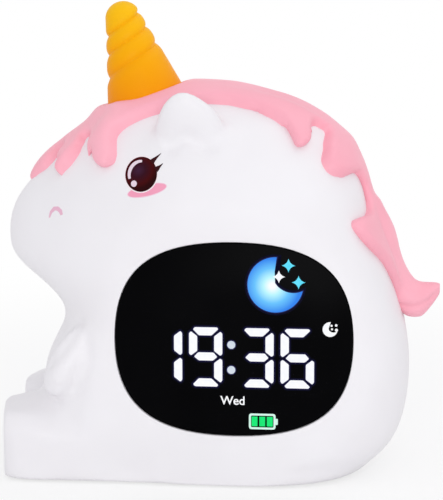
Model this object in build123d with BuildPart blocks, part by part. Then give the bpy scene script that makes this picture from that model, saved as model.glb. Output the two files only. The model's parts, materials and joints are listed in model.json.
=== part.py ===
"""Kids' digital alarm clock shaped as a sitting unicorn, as an assembly of separate pieces.

Millimetres, +Z up. The muzzle points to -X and the display is on the -Y flank.
The origin lies on the table, under the middle of the clock.
"""

import math
import os

from build123d import *

# Clearances and cuts
fit_gap = 0.1  # between a piece and the seat that it drops into
glue_gap = 0.15  # under the glued-on mane and horn
slide_gap = 0.3  # around anything that moves or passes through a hole
overrun = 6.0  # how far a cutting tool reaches past a face

# Body form
body_length = 132.0  # muzzle to rump
body_height = 124.2  # underside to crown
body_depth = 96.4  # across the belly, before the flanks are cut flat
flank_depth = 80.0  # across the two flat flanks
muzzle_reach = 70.2  # from the origin forward to the muzzle
wall = 2.4  # moulded wall of the housing

# Rubber feet
foot_radius = 5.0
foot_height = 1.8
foot_proud = 0.8  # how far the feet lift the housing
foot_front_spread = 36.0
foot_rear_spread = 32.0

# Paws, arms and ears
paw_length = 58.0
paw_width = 32.0
paw_height = 24.0
paw_lead = 1.4  # the toes stand this far ahead of the muzzle
paw_spread = 40.0
paw_corner = 12.0
paw_outer_corner = 19.0
paw_top_round = 11.0
paw_sole_round = 2.6
arm_length = 27.0
hand_radius = 6.6
arm_lean = 23.0  # degrees, shoulder back from the hand
arm_spread = 66.0
ear_width = 21.0
ear_thickness = 11.0
ear_height = 21.4
ear_lean = 29.0  # degrees outwards
ear_spread = 45.0

# Horn
horn_length = 30.5
horn_radius = 13.0
horn_tip_radius = 5.1
horn_lean = 15.0  # degrees forwards
horn_root = 9.0  # stock below the seat, trimmed to the head
groove_radius = 1.2
groove_lead = 13.4
groove_starts = 2
groove_turn = -14.0  # degrees round the horn to the first groove
spigot_radius = 5.0
spigot_length = 7.0
horn_screw_radius = 1.5
horn_screw_length = 12.0
horn_screw_flange_radius = 6.5
horn_screw_flange = 1.2
horn_screw_head_radius = 3.0
horn_screw_head = 2.0

# Mane and tail
mane_thickness = 3.4
tail_width = 10.4
tail_depth = 15.0

# Display window and the ring that holds it
window_width = 75.6
window_height = 62.0
lens_thickness = 2.0
tape_thickness = 0.2
ledge_width = 2.0
ledge_thickness = 2.2
ring_width = 3.0

# Display behind the window
lens_air = 0.4
led_post_length = 4.6
post_radius = 2.6
board_thickness = 1.6
digit_height = 19.1
digit_width = 10.6
digit_stroke = 2.7
segment_gap = 0.5
digit_pitch = 12.8
digit_pair_pitch = 29.1
display_shift = -0.6
display_drop = 5.6
colon_radius = 1.3
colon_pitch = 8.1
moon_radius = 8.8
moon_bite_radius = 7.0
star_radius = 1.5
weekday_length = 10.0
weekday_height = 4.0
weekday_drop = 19.4
gauge_length = 9.2
gauge_height = 4.6
gauge_shift = 9.4
gauge_drop = 25.0
insert_thickness = 1.5
led_length = 1.8
led_width = 1.2
led_height = 0.8

# Back panel
panel_thickness = 2.4
panel_recess = 1.2
panel_screw_pitch_x = 55.0
panel_screw_pitch_z = 42.0
panel_screw_radius = 1.1
panel_screw_head_radius = 2.2
panel_screw_length = 6.4
panel_boss_radius = 3.0
panel_boss_length = 5.6

# Main board and what it carries
main_board_length = 54.0
main_board_height = 22.0
main_board_corner = 6.0
main_board_drop = 13.0
board_standoff = 6.9
board_post_radius = 2.3
upper_post_pitch = 36.8
lower_post_pitch = 44.8
upper_post_rise = 8.6
lower_post_fall = 5.0
board_screw_radius = 1.0
board_screw_head_radius = 1.9
board_screw_head = 1.3
board_screw_length = 5.2
tact_size = 6.0
tact_height = 3.5
tact_bore_depth = 1.6

# Buttons
button_count = 6
button_pitch = 9.2
button_rise = 2.5
button_radius = 3.4
button_flange_radius = 4.1
button_flange = 1.0
button_edge = 0.6
stem_radius = 1.5
stem_entry = 0.3

# Slide switch and charging socket
switch_shift = 14.0
service_fall = 6.2
switch_length = 8.6
switch_width = 3.6
switch_height = 3.5
knob_length = 4.0
knob_width = 2.4
knob_proud = 0.6
knob_travel = 3.0
lever_length = 1.6
lever_width = 1.2
lever_depth = 1.0
socket_width = 9.0
socket_height = 3.3
socket_skin = 0.35
socket_depth = 6.2
socket_inset = 0.4
tongue_width = 6.7
tongue_height = 0.7
tongue_length = 4.6

# Speaker
speaker_radius = 14.0
speaker_rise = 13.6
speaker_rim = 2.0
speaker_lip = 1.0
speaker_basket_depth = 4.9
speaker_skin = 0.7
speaker_magnet_radius = 7.5
speaker_magnet_depth = 4.0
cone_skin = 0.4
cone_depth = 3.2
cap_radius = 4.2
speaker_wall = 1.2
speaker_wall_height = 3.0
grille_hole_radius = 1.1
grille_ring_radius = 4.0
grille_rings = 2

# Battery and its cradle
cell_radius = 9.2
cell_length = 65.2
cell_cap_radius = 3.2
cell_cap_height = 1.2
cradle_wall = 1.6
cradle_height = 12.0
cradle_window_length = 36.0

# Night light
lamp_board_length = 44.0
lamp_board_height = 18.0
lamp_board_corner = 3.0
lamp_board_offset = 2.4
lamp_post_pitch = 30.0
lamp_led_size = 3.5
lamp_led_height = 1.2
lamp_led_pitch = 8.0
lamp_led_count = 4

# Screws that join the two halves
case_boss_radius = 3.8
case_screw_radius = 1.5
case_screw_head_radius = 2.8
case_screw_head = 2.2
case_screw_length = 14.0
case_screw_seat = 5.0

# Level sections of the body: height, front, back, half depth and widest place,
# then how full the front and back quarters of the section are
section_shares = (
    (0.000, 0.173, 0.870, 0.740, 0.552, 0.68, 0.70),
    (0.034, 0.127, 0.927, 0.835, 0.555, 0.70, 0.74),
    (0.098, 0.089, 0.973, 0.912, 0.567, 0.72, 0.78),
    (0.187, 0.077, 0.995, 0.959, 0.578, 0.74, 0.80),
    (0.283, 0.085, 0.999, 0.992, 0.582, 0.74, 0.81),
    (0.372, 0.121, 0.988, 1.000, 0.586, 0.73, 0.82),
    (0.420, 0.130, 0.978, 1.000, 0.586, 0.69, 0.83),
    (0.477, 0.084, 0.962, 0.992, 0.586, 0.62, 0.84),
    (0.557, 0.014, 0.938, 0.971, 0.582, 0.56, 0.83),
    (0.634, 0.000, 0.909, 0.929, 0.567, 0.53, 0.78),
    (0.710, 0.015, 0.888, 0.855, 0.544, 0.52, 0.72),
    (0.775, 0.055, 0.870, 0.772, 0.521, 0.53, 0.67),
    (0.839, 0.123, 0.839, 0.664, 0.498, 0.55, 0.64),
    (0.895, 0.192, 0.802, 0.552, 0.491, 0.56, 0.62),
    (0.944, 0.260, 0.748, 0.415, 0.491, 0.57, 0.60),
    (0.976, 0.324, 0.677, 0.278, 0.483, 0.57, 0.58),
    (1.000, 0.415, 0.567, 0.114, 0.476, 0.56, 0.56),
)

# Places on the body's side view: length from the muzzle, height from the underside
hand_shares = (0.150, 0.261)
ear_shares = (0.453, 0.859)
horn_shares = (0.325, 0.994)
window_shares = (0.581, 0.382)
lamp_shares = (0.521, 0.767)
cell_length_share = 0.544
foot_front_share = 0.127
foot_rear_share = 0.764
case_screw_shares = ((0.195, 0.110), (0.908, 0.114), (0.241, 0.726), (0.798, 0.742))

# Lower edge of the mane from the forehead over the crest to the back
mane_edge_shares = (
    (0.006, 0.738), (0.067, 0.783), (0.125, 0.829), (0.207, 0.879), (0.286, 0.908),
    (0.366, 0.944), (0.461, 0.961), (0.552, 0.969), (0.627, 0.960), (0.695, 0.923),
    (0.748, 0.916), (0.795, 0.880), (0.826, 0.835), (0.846, 0.780), (0.848, 0.720),
    (0.851, 0.674), (0.885, 0.617), (0.920, 0.575), (0.938, 0.538), (0.962, 0.456),
)
# Strands that hang below that edge: root, tip, and width as a share of the mane's thickness
mane_strand_shares = (
    ((0.203, 0.875), (0.138, 0.799), 1.62),
    ((0.256, 0.903), (0.253, 0.844), 2.57),
    ((0.726, 0.915), (0.741, 0.886), 1.59),
    ((0.828, 0.859), (0.823, 0.828), 2.85),
)
# Rear view of the mane's lower end: distance from the mid-plane, height
mane_back_shares = (
    (0.10, 0.456), (0.33, 0.540), (0.44, 0.577), (0.58, 0.621), (0.61, 0.668),
    (0.50, 0.683), (0.30, 0.684), (0.17, 0.702), (0.13, 0.745), (0.18, 0.782),
    (0.33, 0.788), (0.48, 0.786), (0.70, 0.806), (1.20, 0.810),
)
# Centre line of the tail from the back to the tip: length, height, width of the tail there
tail_line_shares = (
    (0.904, 0.706, 0.80), (0.924, 0.650, 0.80), (0.947, 0.581, 0.76), (0.968, 0.521, 0.72),
    (0.989, 0.467, 0.98), (1.025, 0.443, 1.00), (1.059, 0.457, 0.62), (1.0742, 0.475, 0.00),
)

# Rounded outlines of the window, the hand, the ear and the horn
window_full_share = 0.70
hand_bulge_share = 1.16
arm_shoulder_share = 0.50
ear_level_shares = ((0.0, 1.0), (0.40, 0.90), (0.72, 0.66), (0.92, 0.34))
horn_shoulder_share = 0.86
groove_start_share = 0.26
groove_end_share = 0.84
# Centre of the moon in the window, centre of its bite from the moon, and the stars
moon_shares = (0.176, 0.289)
moon_bite_shares = (0.69, 0.58)
star_shares = ((0.49, 0.73), (0.12, 0.28), (0.85, 0.09))

# Depths from the mid-plane, worked out from the sizes above
flank = flank_depth / 2
lens_back = flank - lens_thickness
tape_back = lens_back - tape_thickness
display_ring_back = tape_back - ledge_thickness
reflector_front = lens_back - lens_air
led_board_front = display_ring_back - led_post_length
panel_front = flank - panel_recess
panel_back = panel_front - panel_thickness
panel_ring_back = panel_back - ledge_thickness
board_face = panel_back - board_standoff
board_back = board_face - board_thickness
tact_face = board_face + tact_height
floor_level = foot_proud + wall


def along(share):
    """X of a place given as a share of the body's length from the muzzle."""
    return share * body_length - muzzle_reach


def up(share):
    """Z of a place given as a share of the body's height from the underside."""
    return foot_proud + share * body_height


def side_point(shares):
    """Point of the side view on a plane through the origin, from its two shares."""
    return (along(shares[0]), up(shares[1]))


window_x = along(window_shares[0])
window_z = up(window_shares[1])


def front_plane(depth):
    """Plane facing -Y at a depth from the mid-plane, centred on the window."""
    return Plane(origin=(window_x, -depth, window_z), x_dir=(1, 0, 0), z_dir=(0, -1, 0))


def rear_plane(depth):
    """Plane facing +Y at a depth from the mid-plane, centred behind the window."""
    return Plane(origin=(window_x, depth, window_z), x_dir=(-1, 0, 0), z_dir=(0, 1, 0))


def leaning_plane(place, depth, lean):
    """Side-view plane at a place and depth whose own Y axis leans towards -X by lean degrees."""
    turn = math.radians(lean)
    return Plane(
        origin=(along(place[0]), -depth, up(place[1])),
        x_dir=(math.cos(turn), 0, math.sin(turn)),
        z_dir=(0, -1, 0),
    )


def half_form(growth):
    """Front half of the body form, grown outwards by growth on every side."""
    sections = []
    for height, front, back, depth, widest, front_full, back_full in section_shares:
        rise_share = 2 * height - 1
        spread = growth * math.sqrt(1 - rise_share**2)
        level = foot_proud + height * body_height + growth * rise_share
        nose = along(front) - spread
        rump = along(back) + spread
        side = -(depth * body_depth / 2 + spread)
        middle = along(widest)
        with BuildSketch(Plane.XY.offset(level)) as section:
            with BuildLine():
                Bezier(
                    (nose, 0),
                    (nose, front_full * side),
                    (middle - front_full * (middle - nose), side),
                    (middle, side),
                )
                Bezier(
                    (middle, side),
                    (middle + back_full * (rump - middle), side),
                    (rump, back_full * side),
                    (rump, 0),
                )
                Line((rump, 0), (nose, 0))
            make_face()
        sections.append(section.sketch)
    with BuildPart() as form:
        loft(sections)
    return form.part


def oval(width, height):
    """Soft oval outline of the window family."""
    half_width = width / 2
    half_height = height / 2
    with BuildSketch() as outline:
        with BuildLine():
            Bezier(
                (half_width, 0),
                (half_width, window_full_share * half_height),
                (window_full_share * half_width, half_height),
                (0, half_height),
            )
            mirror(about=Plane.YZ)
            mirror(about=Plane.XZ)
        make_face()
    return outline.sketch


def window_oval(growth):
    """The window's outline grown by growth on every side."""
    return oval(window_width + 2 * growth, window_height + 2 * growth)


def paw(shrink):
    """One front paw as a rounded block, drawn in by shrink on every side."""
    toe = -muzzle_reach - paw_lead + shrink
    heel = toe + paw_length - shrink
    sole = Plane.XY.offset(foot_proud + shrink)
    with BuildPart() as block:
        with BuildSketch(sole) as print_outline:
            with Locations(((toe + heel) / 2, -paw_spread / 2)):
                Rectangle(heel - toe, paw_width - 2 * shrink)
            outer_toe = print_outline.vertices().group_by(Axis.Y)[0].sort_by(Axis.X)[0]
            fillet(outer_toe, paw_outer_corner - shrink)
            square = print_outline.vertices().group_by(Axis.Y)[-1]
            fillet(square, paw_corner - shrink)
        extrude(amount=paw_height - 2 * shrink)
        fillet(block.faces().sort_by(Axis.Z)[-1].edges(), paw_top_round - shrink)
        fillet(block.faces().sort_by(Axis.Z)[0].edges(), paw_sole_round - shrink)
    return block.part


# Tool forms that several pieces share
outer_half = half_form(0)
cavity_half = half_form(-wall)
mane_outer = half_form(mane_thickness)
mane_inner = half_form(glue_gap)
flank_plane = Plane.XZ.offset(flank)
cavity_plane = Plane.XZ.offset(flank - wall)

# Solid front half with its flat flank
with BuildPart() as solid_half:
    add(outer_half)
    split(bisect_by=flank_plane, keep=Keep.BOTTOM)

# Hollow inside the front half, with the hollow of the paw
with BuildPart() as hollow_half:
    add(cavity_half)
    split(bisect_by=cavity_plane, keep=Keep.BOTTOM)
    add(paw(wall))

# Arm, a teardrop that hangs from the shoulder
arm_plane = leaning_plane(hand_shares, arm_spread / 2, -arm_lean)
with BuildPart() as arm:
    with BuildSketch(arm_plane):
        with BuildLine():
            Bezier(
                (0, -hand_radius),
                (hand_bulge_share * hand_radius, -hand_radius),
                (hand_bulge_share * hand_radius, arm_shoulder_share * (arm_length - hand_radius)),
                (0, arm_length - hand_radius),
            )
            Line((0, arm_length - hand_radius), (0, -hand_radius))
        make_face()
    revolve(axis=Axis(arm_plane.origin, arm_plane.y_dir))

# Ear, a rounded flap that leans outwards
ear_turn = math.radians(ear_lean)
ear_axis = Vector(0, -math.sin(ear_turn), math.cos(ear_turn))
ear_root = Vector(along(ear_shares[0]), -ear_spread / 2, up(ear_shares[1]))


def ear_form(growth):
    """One ear as a flap of oval sections up to a soft point, grown by growth."""
    levels = []
    for rise_share, size_share in ear_level_shares:
        level = Plane(
            origin=ear_root + ear_axis * (rise_share * ear_height),
            x_dir=(1, 0, 0),
            z_dir=ear_axis,
        )
        with BuildSketch(level) as section:
            Ellipse(size_share * ear_width / 2 + growth, size_share * ear_thickness / 2 + growth)
        levels.append(section.sketch)
    levels.append(Vertex(*(ear_root + ear_axis * (ear_height + growth))))
    with BuildPart() as flap:
        loft(levels)
    return flap.part


# Horn stock: a blunt cone that runs down through the seat into the head
horn_plane = leaning_plane(horn_shares, 0, horn_lean)
horn_axis = Axis(horn_plane.origin, horn_plane.y_dir)
horn_shoulder = horn_shoulder_share * horn_length
horn_taper = (horn_radius - horn_tip_radius) / horn_shoulder


def horn_cone(growth):
    """The horn without its grooves, grown sideways by growth."""
    shoulder_radius = horn_tip_radius + growth
    root_radius = horn_radius + horn_taper * horn_root + growth
    with BuildPart() as cone:
        with BuildSketch(horn_plane):
            with BuildLine():
                Line((0, -horn_root), (root_radius, -horn_root))
                Line((root_radius, -horn_root), (shoulder_radius, horn_shoulder))
                Bezier(
                    (shoulder_radius, horn_shoulder),
                    (
                        shoulder_radius - horn_taper * (horn_length - horn_shoulder),
                        horn_length,
                    ),
                    (0, horn_length),
                )
                Line((0, horn_length), (0, -horn_root))
            make_face()
        revolve(axis=horn_axis)
    return cone.part


# Bosses for the case screws, from the mid-plane out to the wall
case_screw_places = [side_point(shares) for shares in case_screw_shares]
with BuildPart() as case_bosses:
    with BuildSketch(Plane.XZ):
        with Locations(*case_screw_places):
            Circle(case_boss_radius)
    extrude(amount=flank)
    add(solid_half.part, mode=Mode.INTERSECT)

# Form that both housing halves share: wall, paw, arm, ear, bosses, horn hole and foot seats
front_foot = (along(foot_front_share), -foot_front_spread / 2)
rear_foot = (along(foot_rear_share), -foot_rear_spread / 2)
with BuildPart() as half_shell:
    add(solid_half.part)
    add(paw(0))
    add(arm.part)
    add(ear_form(0))
    add(hollow_half.part, mode=Mode.SUBTRACT)
    add(case_bosses.part)
    with BuildSketch(Plane(origin=horn_plane.origin, x_dir=horn_plane.x_dir, z_dir=horn_plane.y_dir)):
        Circle(spigot_radius + fit_gap)
    extrude(amount=spigot_length + horn_root, both=True, mode=Mode.SUBTRACT)
    with BuildSketch(Plane.XY.offset(foot_proud)):
        with Locations(front_foot, rear_foot):
            Circle(foot_radius + fit_gap)
    extrude(amount=foot_height - foot_proud, mode=Mode.SUBTRACT)

# Stiffening rings behind the edges of the two flank openings
with BuildPart() as display_ring:
    with BuildSketch(front_plane(flank)):
        add(window_oval(ring_width))
    extrude(amount=display_ring_back - flank)
    add(solid_half.part, mode=Mode.INTERSECT)

with BuildPart() as panel_ring:
    with BuildSketch(front_plane(flank)):
        add(window_oval(ring_width))
    extrude(amount=panel_ring_back - flank)
    add(solid_half.part, mode=Mode.INTERSECT)
panel_ring_rear = mirror(panel_ring.part, about=Plane.XZ)

# Places of the display posts on the ring, at the corners of the oval
led_post_places = GridLocations(
    window_width * math.sqrt(window_full_share),
    window_height * math.sqrt(window_full_share),
    2,
    2,
)
opening = window_oval(-ledge_width)

with BuildPart() as front_shell:
    add(half_shell.part)
    add(display_ring.part)
    with BuildSketch(front_plane(flank)):
        add(window_oval(fit_gap))
    extrude(amount=tape_back - flank, mode=Mode.SUBTRACT)
    with BuildSketch(front_plane(flank)):
        add(opening)
    extrude(amount=display_ring_back - flank - overrun, mode=Mode.SUBTRACT)
    with BuildSketch(front_plane(display_ring_back)):
        with led_post_places:
            Circle(post_radius)
    extrude(amount=-led_post_length)
    with BuildSketch(front_plane(led_board_front)):
        with led_post_places:
            Circle(board_screw_radius + fit_gap)
    extrude(amount=led_post_length, mode=Mode.SUBTRACT)
    with BuildSketch(Plane.XZ):
        with Locations(*case_screw_places):
            Circle(case_screw_radius + fit_gap)
    extrude(amount=case_screw_length - case_screw_seat + fit_gap, mode=Mode.SUBTRACT)
front_shell.part.label = "front_shell"

# Rear half: the same form mirrored, with the panel seat and counterbored screw holes
panel_screw_places = GridLocations(panel_screw_pitch_x, panel_screw_pitch_z, 2, 2)
lamp_places = [
    (along(lamp_shares[0]) - lamp_post_pitch / 2, up(lamp_shares[1])),
    (along(lamp_shares[0]) + lamp_post_pitch / 2, up(lamp_shares[1])),
]
lamp_face = lamp_board_offset + board_thickness
solid_rear = mirror(solid_half.part, about=Plane.XZ)
with BuildPart() as lamp_posts:
    with BuildSketch(Plane.XZ.offset(-lamp_face)):
        with Locations(*lamp_places):
            Circle(post_radius)
    extrude(amount=-flank)
    add(solid_rear, mode=Mode.INTERSECT)

half_rear = mirror(half_shell.part, about=Plane.XZ)
with BuildPart() as rear_shell:
    add(half_rear)
    add(panel_ring_rear)
    add(lamp_posts.part)
    with BuildSketch(rear_plane(flank)):
        add(window_oval(fit_gap))
    extrude(amount=panel_back - flank, mode=Mode.SUBTRACT)
    with BuildSketch(rear_plane(flank)):
        add(opening)
    extrude(amount=panel_ring_back - flank - overrun, mode=Mode.SUBTRACT)
    with BuildSketch(rear_plane(panel_back)):
        with panel_screw_places:
            Circle(panel_boss_radius)
    extrude(amount=-panel_boss_length)
    with BuildSketch(rear_plane(panel_back)):
        with panel_screw_places:
            Circle(panel_screw_radius + fit_gap)
    extrude(amount=-panel_boss_length, mode=Mode.SUBTRACT)
    with BuildSketch(Plane.XZ.offset(-lamp_face)):
        with Locations(*lamp_places):
            Circle(board_screw_radius + fit_gap)
    extrude(amount=-board_screw_length, mode=Mode.SUBTRACT)
    with BuildSketch(Plane.XZ):
        with Locations(*case_screw_places):
            Circle(case_screw_radius + fit_gap)
    extrude(amount=-flank, mode=Mode.SUBTRACT)
    with BuildSketch(Plane.XZ.offset(-case_screw_seat)):
        with Locations(*case_screw_places):
            Circle(case_screw_head_radius + slide_gap)
    extrude(amount=-flank, mode=Mode.SUBTRACT)
rear_shell.part.label = "rear_shell"

# Horn: the cone trimmed to the head, two spiral grooves, and a spigot through the housing
seat_form = mirror(mane_inner, about=Plane.XZ)
groove_start = groove_start_share * horn_length
groove_end = groove_end_share * horn_length
groove_base_radius = horn_radius - horn_taper * groove_start
groove_base = horn_plane.origin + horn_plane.y_dir * groove_start
spigot_plane = Plane(origin=horn_plane.origin, x_dir=horn_plane.x_dir, z_dir=-horn_plane.y_dir)
with BuildPart() as groove:
    with BuildLine() as spiral:
        Helix(
            groove_lead,
            groove_end - groove_start,
            groove_base_radius,
            center=groove_base,
            direction=horn_plane.y_dir,
            cone_angle=-math.degrees(math.atan(horn_taper)),
        )
    with BuildSketch(spiral.line ^ 0):
        Circle(groove_radius)
    sweep(is_frenet=True)
grooves = [
    groove.part.rotate(horn_axis, groove_turn + start * 360 / groove_starts)
    for start in range(groove_starts)
]
with BuildPart() as horn:
    add(horn_cone(0))
    add(mane_inner, mode=Mode.SUBTRACT)
    add(seat_form, mode=Mode.SUBTRACT)
    for spiral_groove in grooves:
        add(spiral_groove, mode=Mode.SUBTRACT)
    with BuildSketch(spigot_plane):
        Circle(spigot_radius)
    extrude(amount=spigot_length)
    with BuildSketch(spigot_plane.offset(spigot_length)):
        Circle(horn_screw_radius + fit_gap)
    extrude(amount=-horn_screw_length - fit_gap, mode=Mode.SUBTRACT)
horn.part.label = "horn"

with BuildPart() as horn_screw:
    with BuildSketch(spigot_plane.offset(spigot_length)):
        Circle(horn_screw_flange_radius)
    extrude(amount=horn_screw_flange)
    with BuildSketch(spigot_plane.offset(spigot_length + horn_screw_flange)):
        Circle(horn_screw_head_radius)
    extrude(amount=horn_screw_head)
    with BuildSketch(spigot_plane.offset(spigot_length)):
        Circle(horn_screw_radius)
    extrude(amount=-horn_screw_length)
horn_screw.part.label = "horn_screw"

# Mane: a thick skin over the head, trimmed to its side view, and the tail that it runs into
mane_start = side_point(mane_edge_shares[0])
mane_stop = side_point(mane_edge_shares[-1])
sky = up(1) + mane_thickness + overrun
ahead = along(0) - mane_thickness - overrun
behind = along(1) + mane_thickness + overrun
with BuildPart() as mane_side:
    with BuildSketch(Plane.XZ):
        with BuildLine():
            Spline(*[side_point(shares) for shares in mane_edge_shares])
            Polyline(
                mane_stop,
                (behind, mane_stop[1]),
                (behind, sky),
                (ahead, sky),
                (ahead, mane_start[1]),
                mane_start,
            )
        make_face()
        for root, tip, width_share in mane_strand_shares:
            SlotCenterPoint(side_point(root), side_point(tip), width_share * mane_thickness)
    extrude(amount=body_depth)

back_points = [(-across * body_depth / 2, up(height)) for across, height in mane_back_shares]
with BuildPart() as mane_back_cut:
    with BuildSketch(Plane.YZ.offset(window_x)):
        with BuildLine():
            Spline(*back_points)
            Polyline(
                back_points[-1],
                (back_points[-1][0] - overrun, back_points[-1][1]),
                (back_points[-1][0] - overrun, back_points[0][1] - overrun),
                (back_points[0][0], back_points[0][1] - overrun),
                back_points[0],
            )
        make_face()
    extrude(amount=body_length)

with BuildPart() as mane_half:
    add(mane_outer)
    add(mane_inner, mode=Mode.SUBTRACT)
    add(mane_side.part, mode=Mode.INTERSECT)
    add(mane_back_cut.part, mode=Mode.SUBTRACT)
    add(ear_form(slide_gap), mode=Mode.SUBTRACT)
    add(horn_cone(glue_gap), mode=Mode.SUBTRACT)

tail_points = [Vector(along(length), 0, up(height)) for length, height, width in tail_line_shares]
tail_sections = []
for place in range(len(tail_points) - 1):
    heading = tail_points[place + 1] - tail_points[max(place - 1, 0)]
    width_share = tail_line_shares[place][2]
    across = Plane(origin=tail_points[place], x_dir=(0, 1, 0), z_dir=heading)
    with BuildSketch(across) as tail_section:
        Ellipse(width_share * tail_depth / 2, width_share * tail_width / 2)
    tail_sections.append(tail_section.sketch)
tail_sections.append(Vertex(*tail_points[-1]))
with BuildPart() as tail:
    loft(tail_sections)
    add(mane_inner, mode=Mode.SUBTRACT)
    add(seat_form, mode=Mode.SUBTRACT)

with BuildPart() as mane:
    add(mane_half.part)
    add(mirror(mane_half.part, about=Plane.XZ, mode=Mode.PRIVATE))
    add(tail.part)
mane.part.label = "mane"

# Display window, a smoked lens flush with the flank, and the tape that bonds it
with BuildPart() as display_window:
    with BuildSketch(front_plane(flank)):
        add(window_oval(0))
    extrude(amount=-lens_thickness)
display_window.part.label = "display_window"

with BuildPart() as window_tape:
    with BuildSketch(front_plane(lens_back)):
        add(window_oval(0))
        add(opening, mode=Mode.SUBTRACT)
    extrude(amount=-tape_thickness)
window_tape.part.label = "window_tape"

# Places of the seven segments in a digit: centre and turn
stroke_x = (digit_width - digit_stroke) / 2
stroke_z = (digit_height - digit_stroke) / 2
bar_length = 2 * stroke_x - segment_gap
post_length = stroke_z - segment_gap
bar_places = [(0, -stroke_z), (0, 0), (0, stroke_z)]
stick_places = [(x, z) for x in (-stroke_x, stroke_x) for z in (-stroke_z / 2, stroke_z / 2)]
digit_places = [
    (display_shift + pair + step, -display_drop)
    for pair in (-digit_pair_pitch / 2, digit_pair_pitch / 2)
    for step in (-digit_pitch / 2, digit_pitch / 2)
]
colon_places = [
    (display_shift, -display_drop - colon_pitch / 2),
    (display_shift, -display_drop + colon_pitch / 2),
]
moon_place = (moon_shares[0] * window_width, moon_shares[1] * window_height)
bite_place = (
    moon_place[0] + moon_bite_shares[0] * moon_radius,
    moon_place[1] + moon_bite_shares[1] * moon_radius,
)
star_places = [
    (moon_place[0] + share_x * moon_radius, moon_place[1] + share_z * moon_radius)
    for share_x, share_z in star_shares
]
weekday_place = (0, -weekday_drop)
gauge_place = (gauge_shift, -gauge_drop)


def segment(length, stroke):
    """Corner points of one pointed segment, lying along X."""
    tip = length / 2
    side = stroke / 2
    return [(-tip, 0), (side - tip, side), (tip - side, side), (tip, 0), (tip - side, -side), (side - tip, -side)]


def display_cells(shrink):
    """Outlines of everything that lights up, each drawn in by shrink."""
    stroke = digit_stroke - 2 * shrink
    bar = segment(bar_length - 2 * shrink, stroke)
    stick = segment(post_length - 2 * shrink, stroke)
    with BuildSketch() as cells:
        for digit_x, digit_z in digit_places:
            with Locations(*[(digit_x + x, digit_z + z) for x, z in bar_places]):
                Polygon(*bar)
            with Locations(*[(digit_x + x, digit_z + z) for x, z in stick_places]):
                Polygon(*stick, rotation=90)
        with Locations(*colon_places):
            Circle(colon_radius - shrink)
        with Locations(moon_place):
            Circle(moon_radius - shrink)
        with Locations(bite_place):
            Circle(moon_bite_radius + shrink, mode=Mode.SUBTRACT)
        with Locations(*star_places[1:]):
            Circle(star_radius - shrink)
        with Locations(weekday_place):
            Rectangle(weekday_length - 2 * shrink, weekday_height - 2 * shrink)
        with Locations(gauge_place):
            Rectangle(gauge_length - 2 * shrink, gauge_height - 2 * shrink)
    return cells.sketch


# Reflector block with one cell for each lit shape, and the diffuser inserts in the cells
with BuildPart() as led_reflector:
    with BuildSketch(front_plane(led_board_front)):
        add(window_oval(-ledge_width - slide_gap))
    extrude(amount=reflector_front - led_board_front)
    with BuildSketch(front_plane(led_board_front)):
        add(display_cells(0))
    extrude(amount=reflector_front - led_board_front, mode=Mode.SUBTRACT)
led_reflector.part.label = "led_reflector"

with BuildPart() as digit_segments:
    with BuildSketch(front_plane(reflector_front)):
        add(display_cells(fit_gap))
    extrude(amount=-insert_thickness)
digit_segments.part.label = "digit_segments"

# Display board, its light-emitting diodes and its posts' screw holes
with BuildPart() as led_board:
    with BuildSketch(front_plane(led_board_front)):
        add(window_oval(ring_width - slide_gap))
        with led_post_places:
            Circle(board_screw_radius + fit_gap, mode=Mode.SUBTRACT)
    extrude(amount=-board_thickness)
led_board.part.label = "led_board"

moon_led_place = (moon_place[0] - moon_radius / 2, moon_place[1] - moon_radius / 2)
led_places = [
    (digit_x + x, digit_z + z) for digit_x, digit_z in digit_places for x, z in bar_places + stick_places
]
led_places += colon_places + star_places[1:] + [moon_led_place, weekday_place, gauge_place]
with BuildPart() as display_leds:
    with BuildSketch(front_plane(led_board_front)):
        with Locations(*led_places):
            Rectangle(led_length, led_width)
    extrude(amount=led_height)
display_leds.part.label = "display_leds"

# Places on the back panel, measured from its centre
board_place = (0, -main_board_drop)
button_z = -main_board_drop + button_rise
button_places = [((step - (button_count - 1) / 2) * button_pitch, button_z) for step in range(button_count)]
service_z = -main_board_drop - service_fall
socket_place = (0, service_z)
switch_place = (switch_shift, service_z)
speaker_place = (0, speaker_rise)
board_post_places = [
    (-upper_post_pitch / 2, upper_post_rise - main_board_drop),
    (upper_post_pitch / 2, upper_post_rise - main_board_drop),
    (-lower_post_pitch / 2, -lower_post_fall - main_board_drop),
    (lower_post_pitch / 2, -lower_post_fall - main_board_drop),
]
slot_length = knob_length + knob_travel + 2 * slide_gap
slot_place = (switch_place[0] + knob_travel / 2, service_z)

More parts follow.
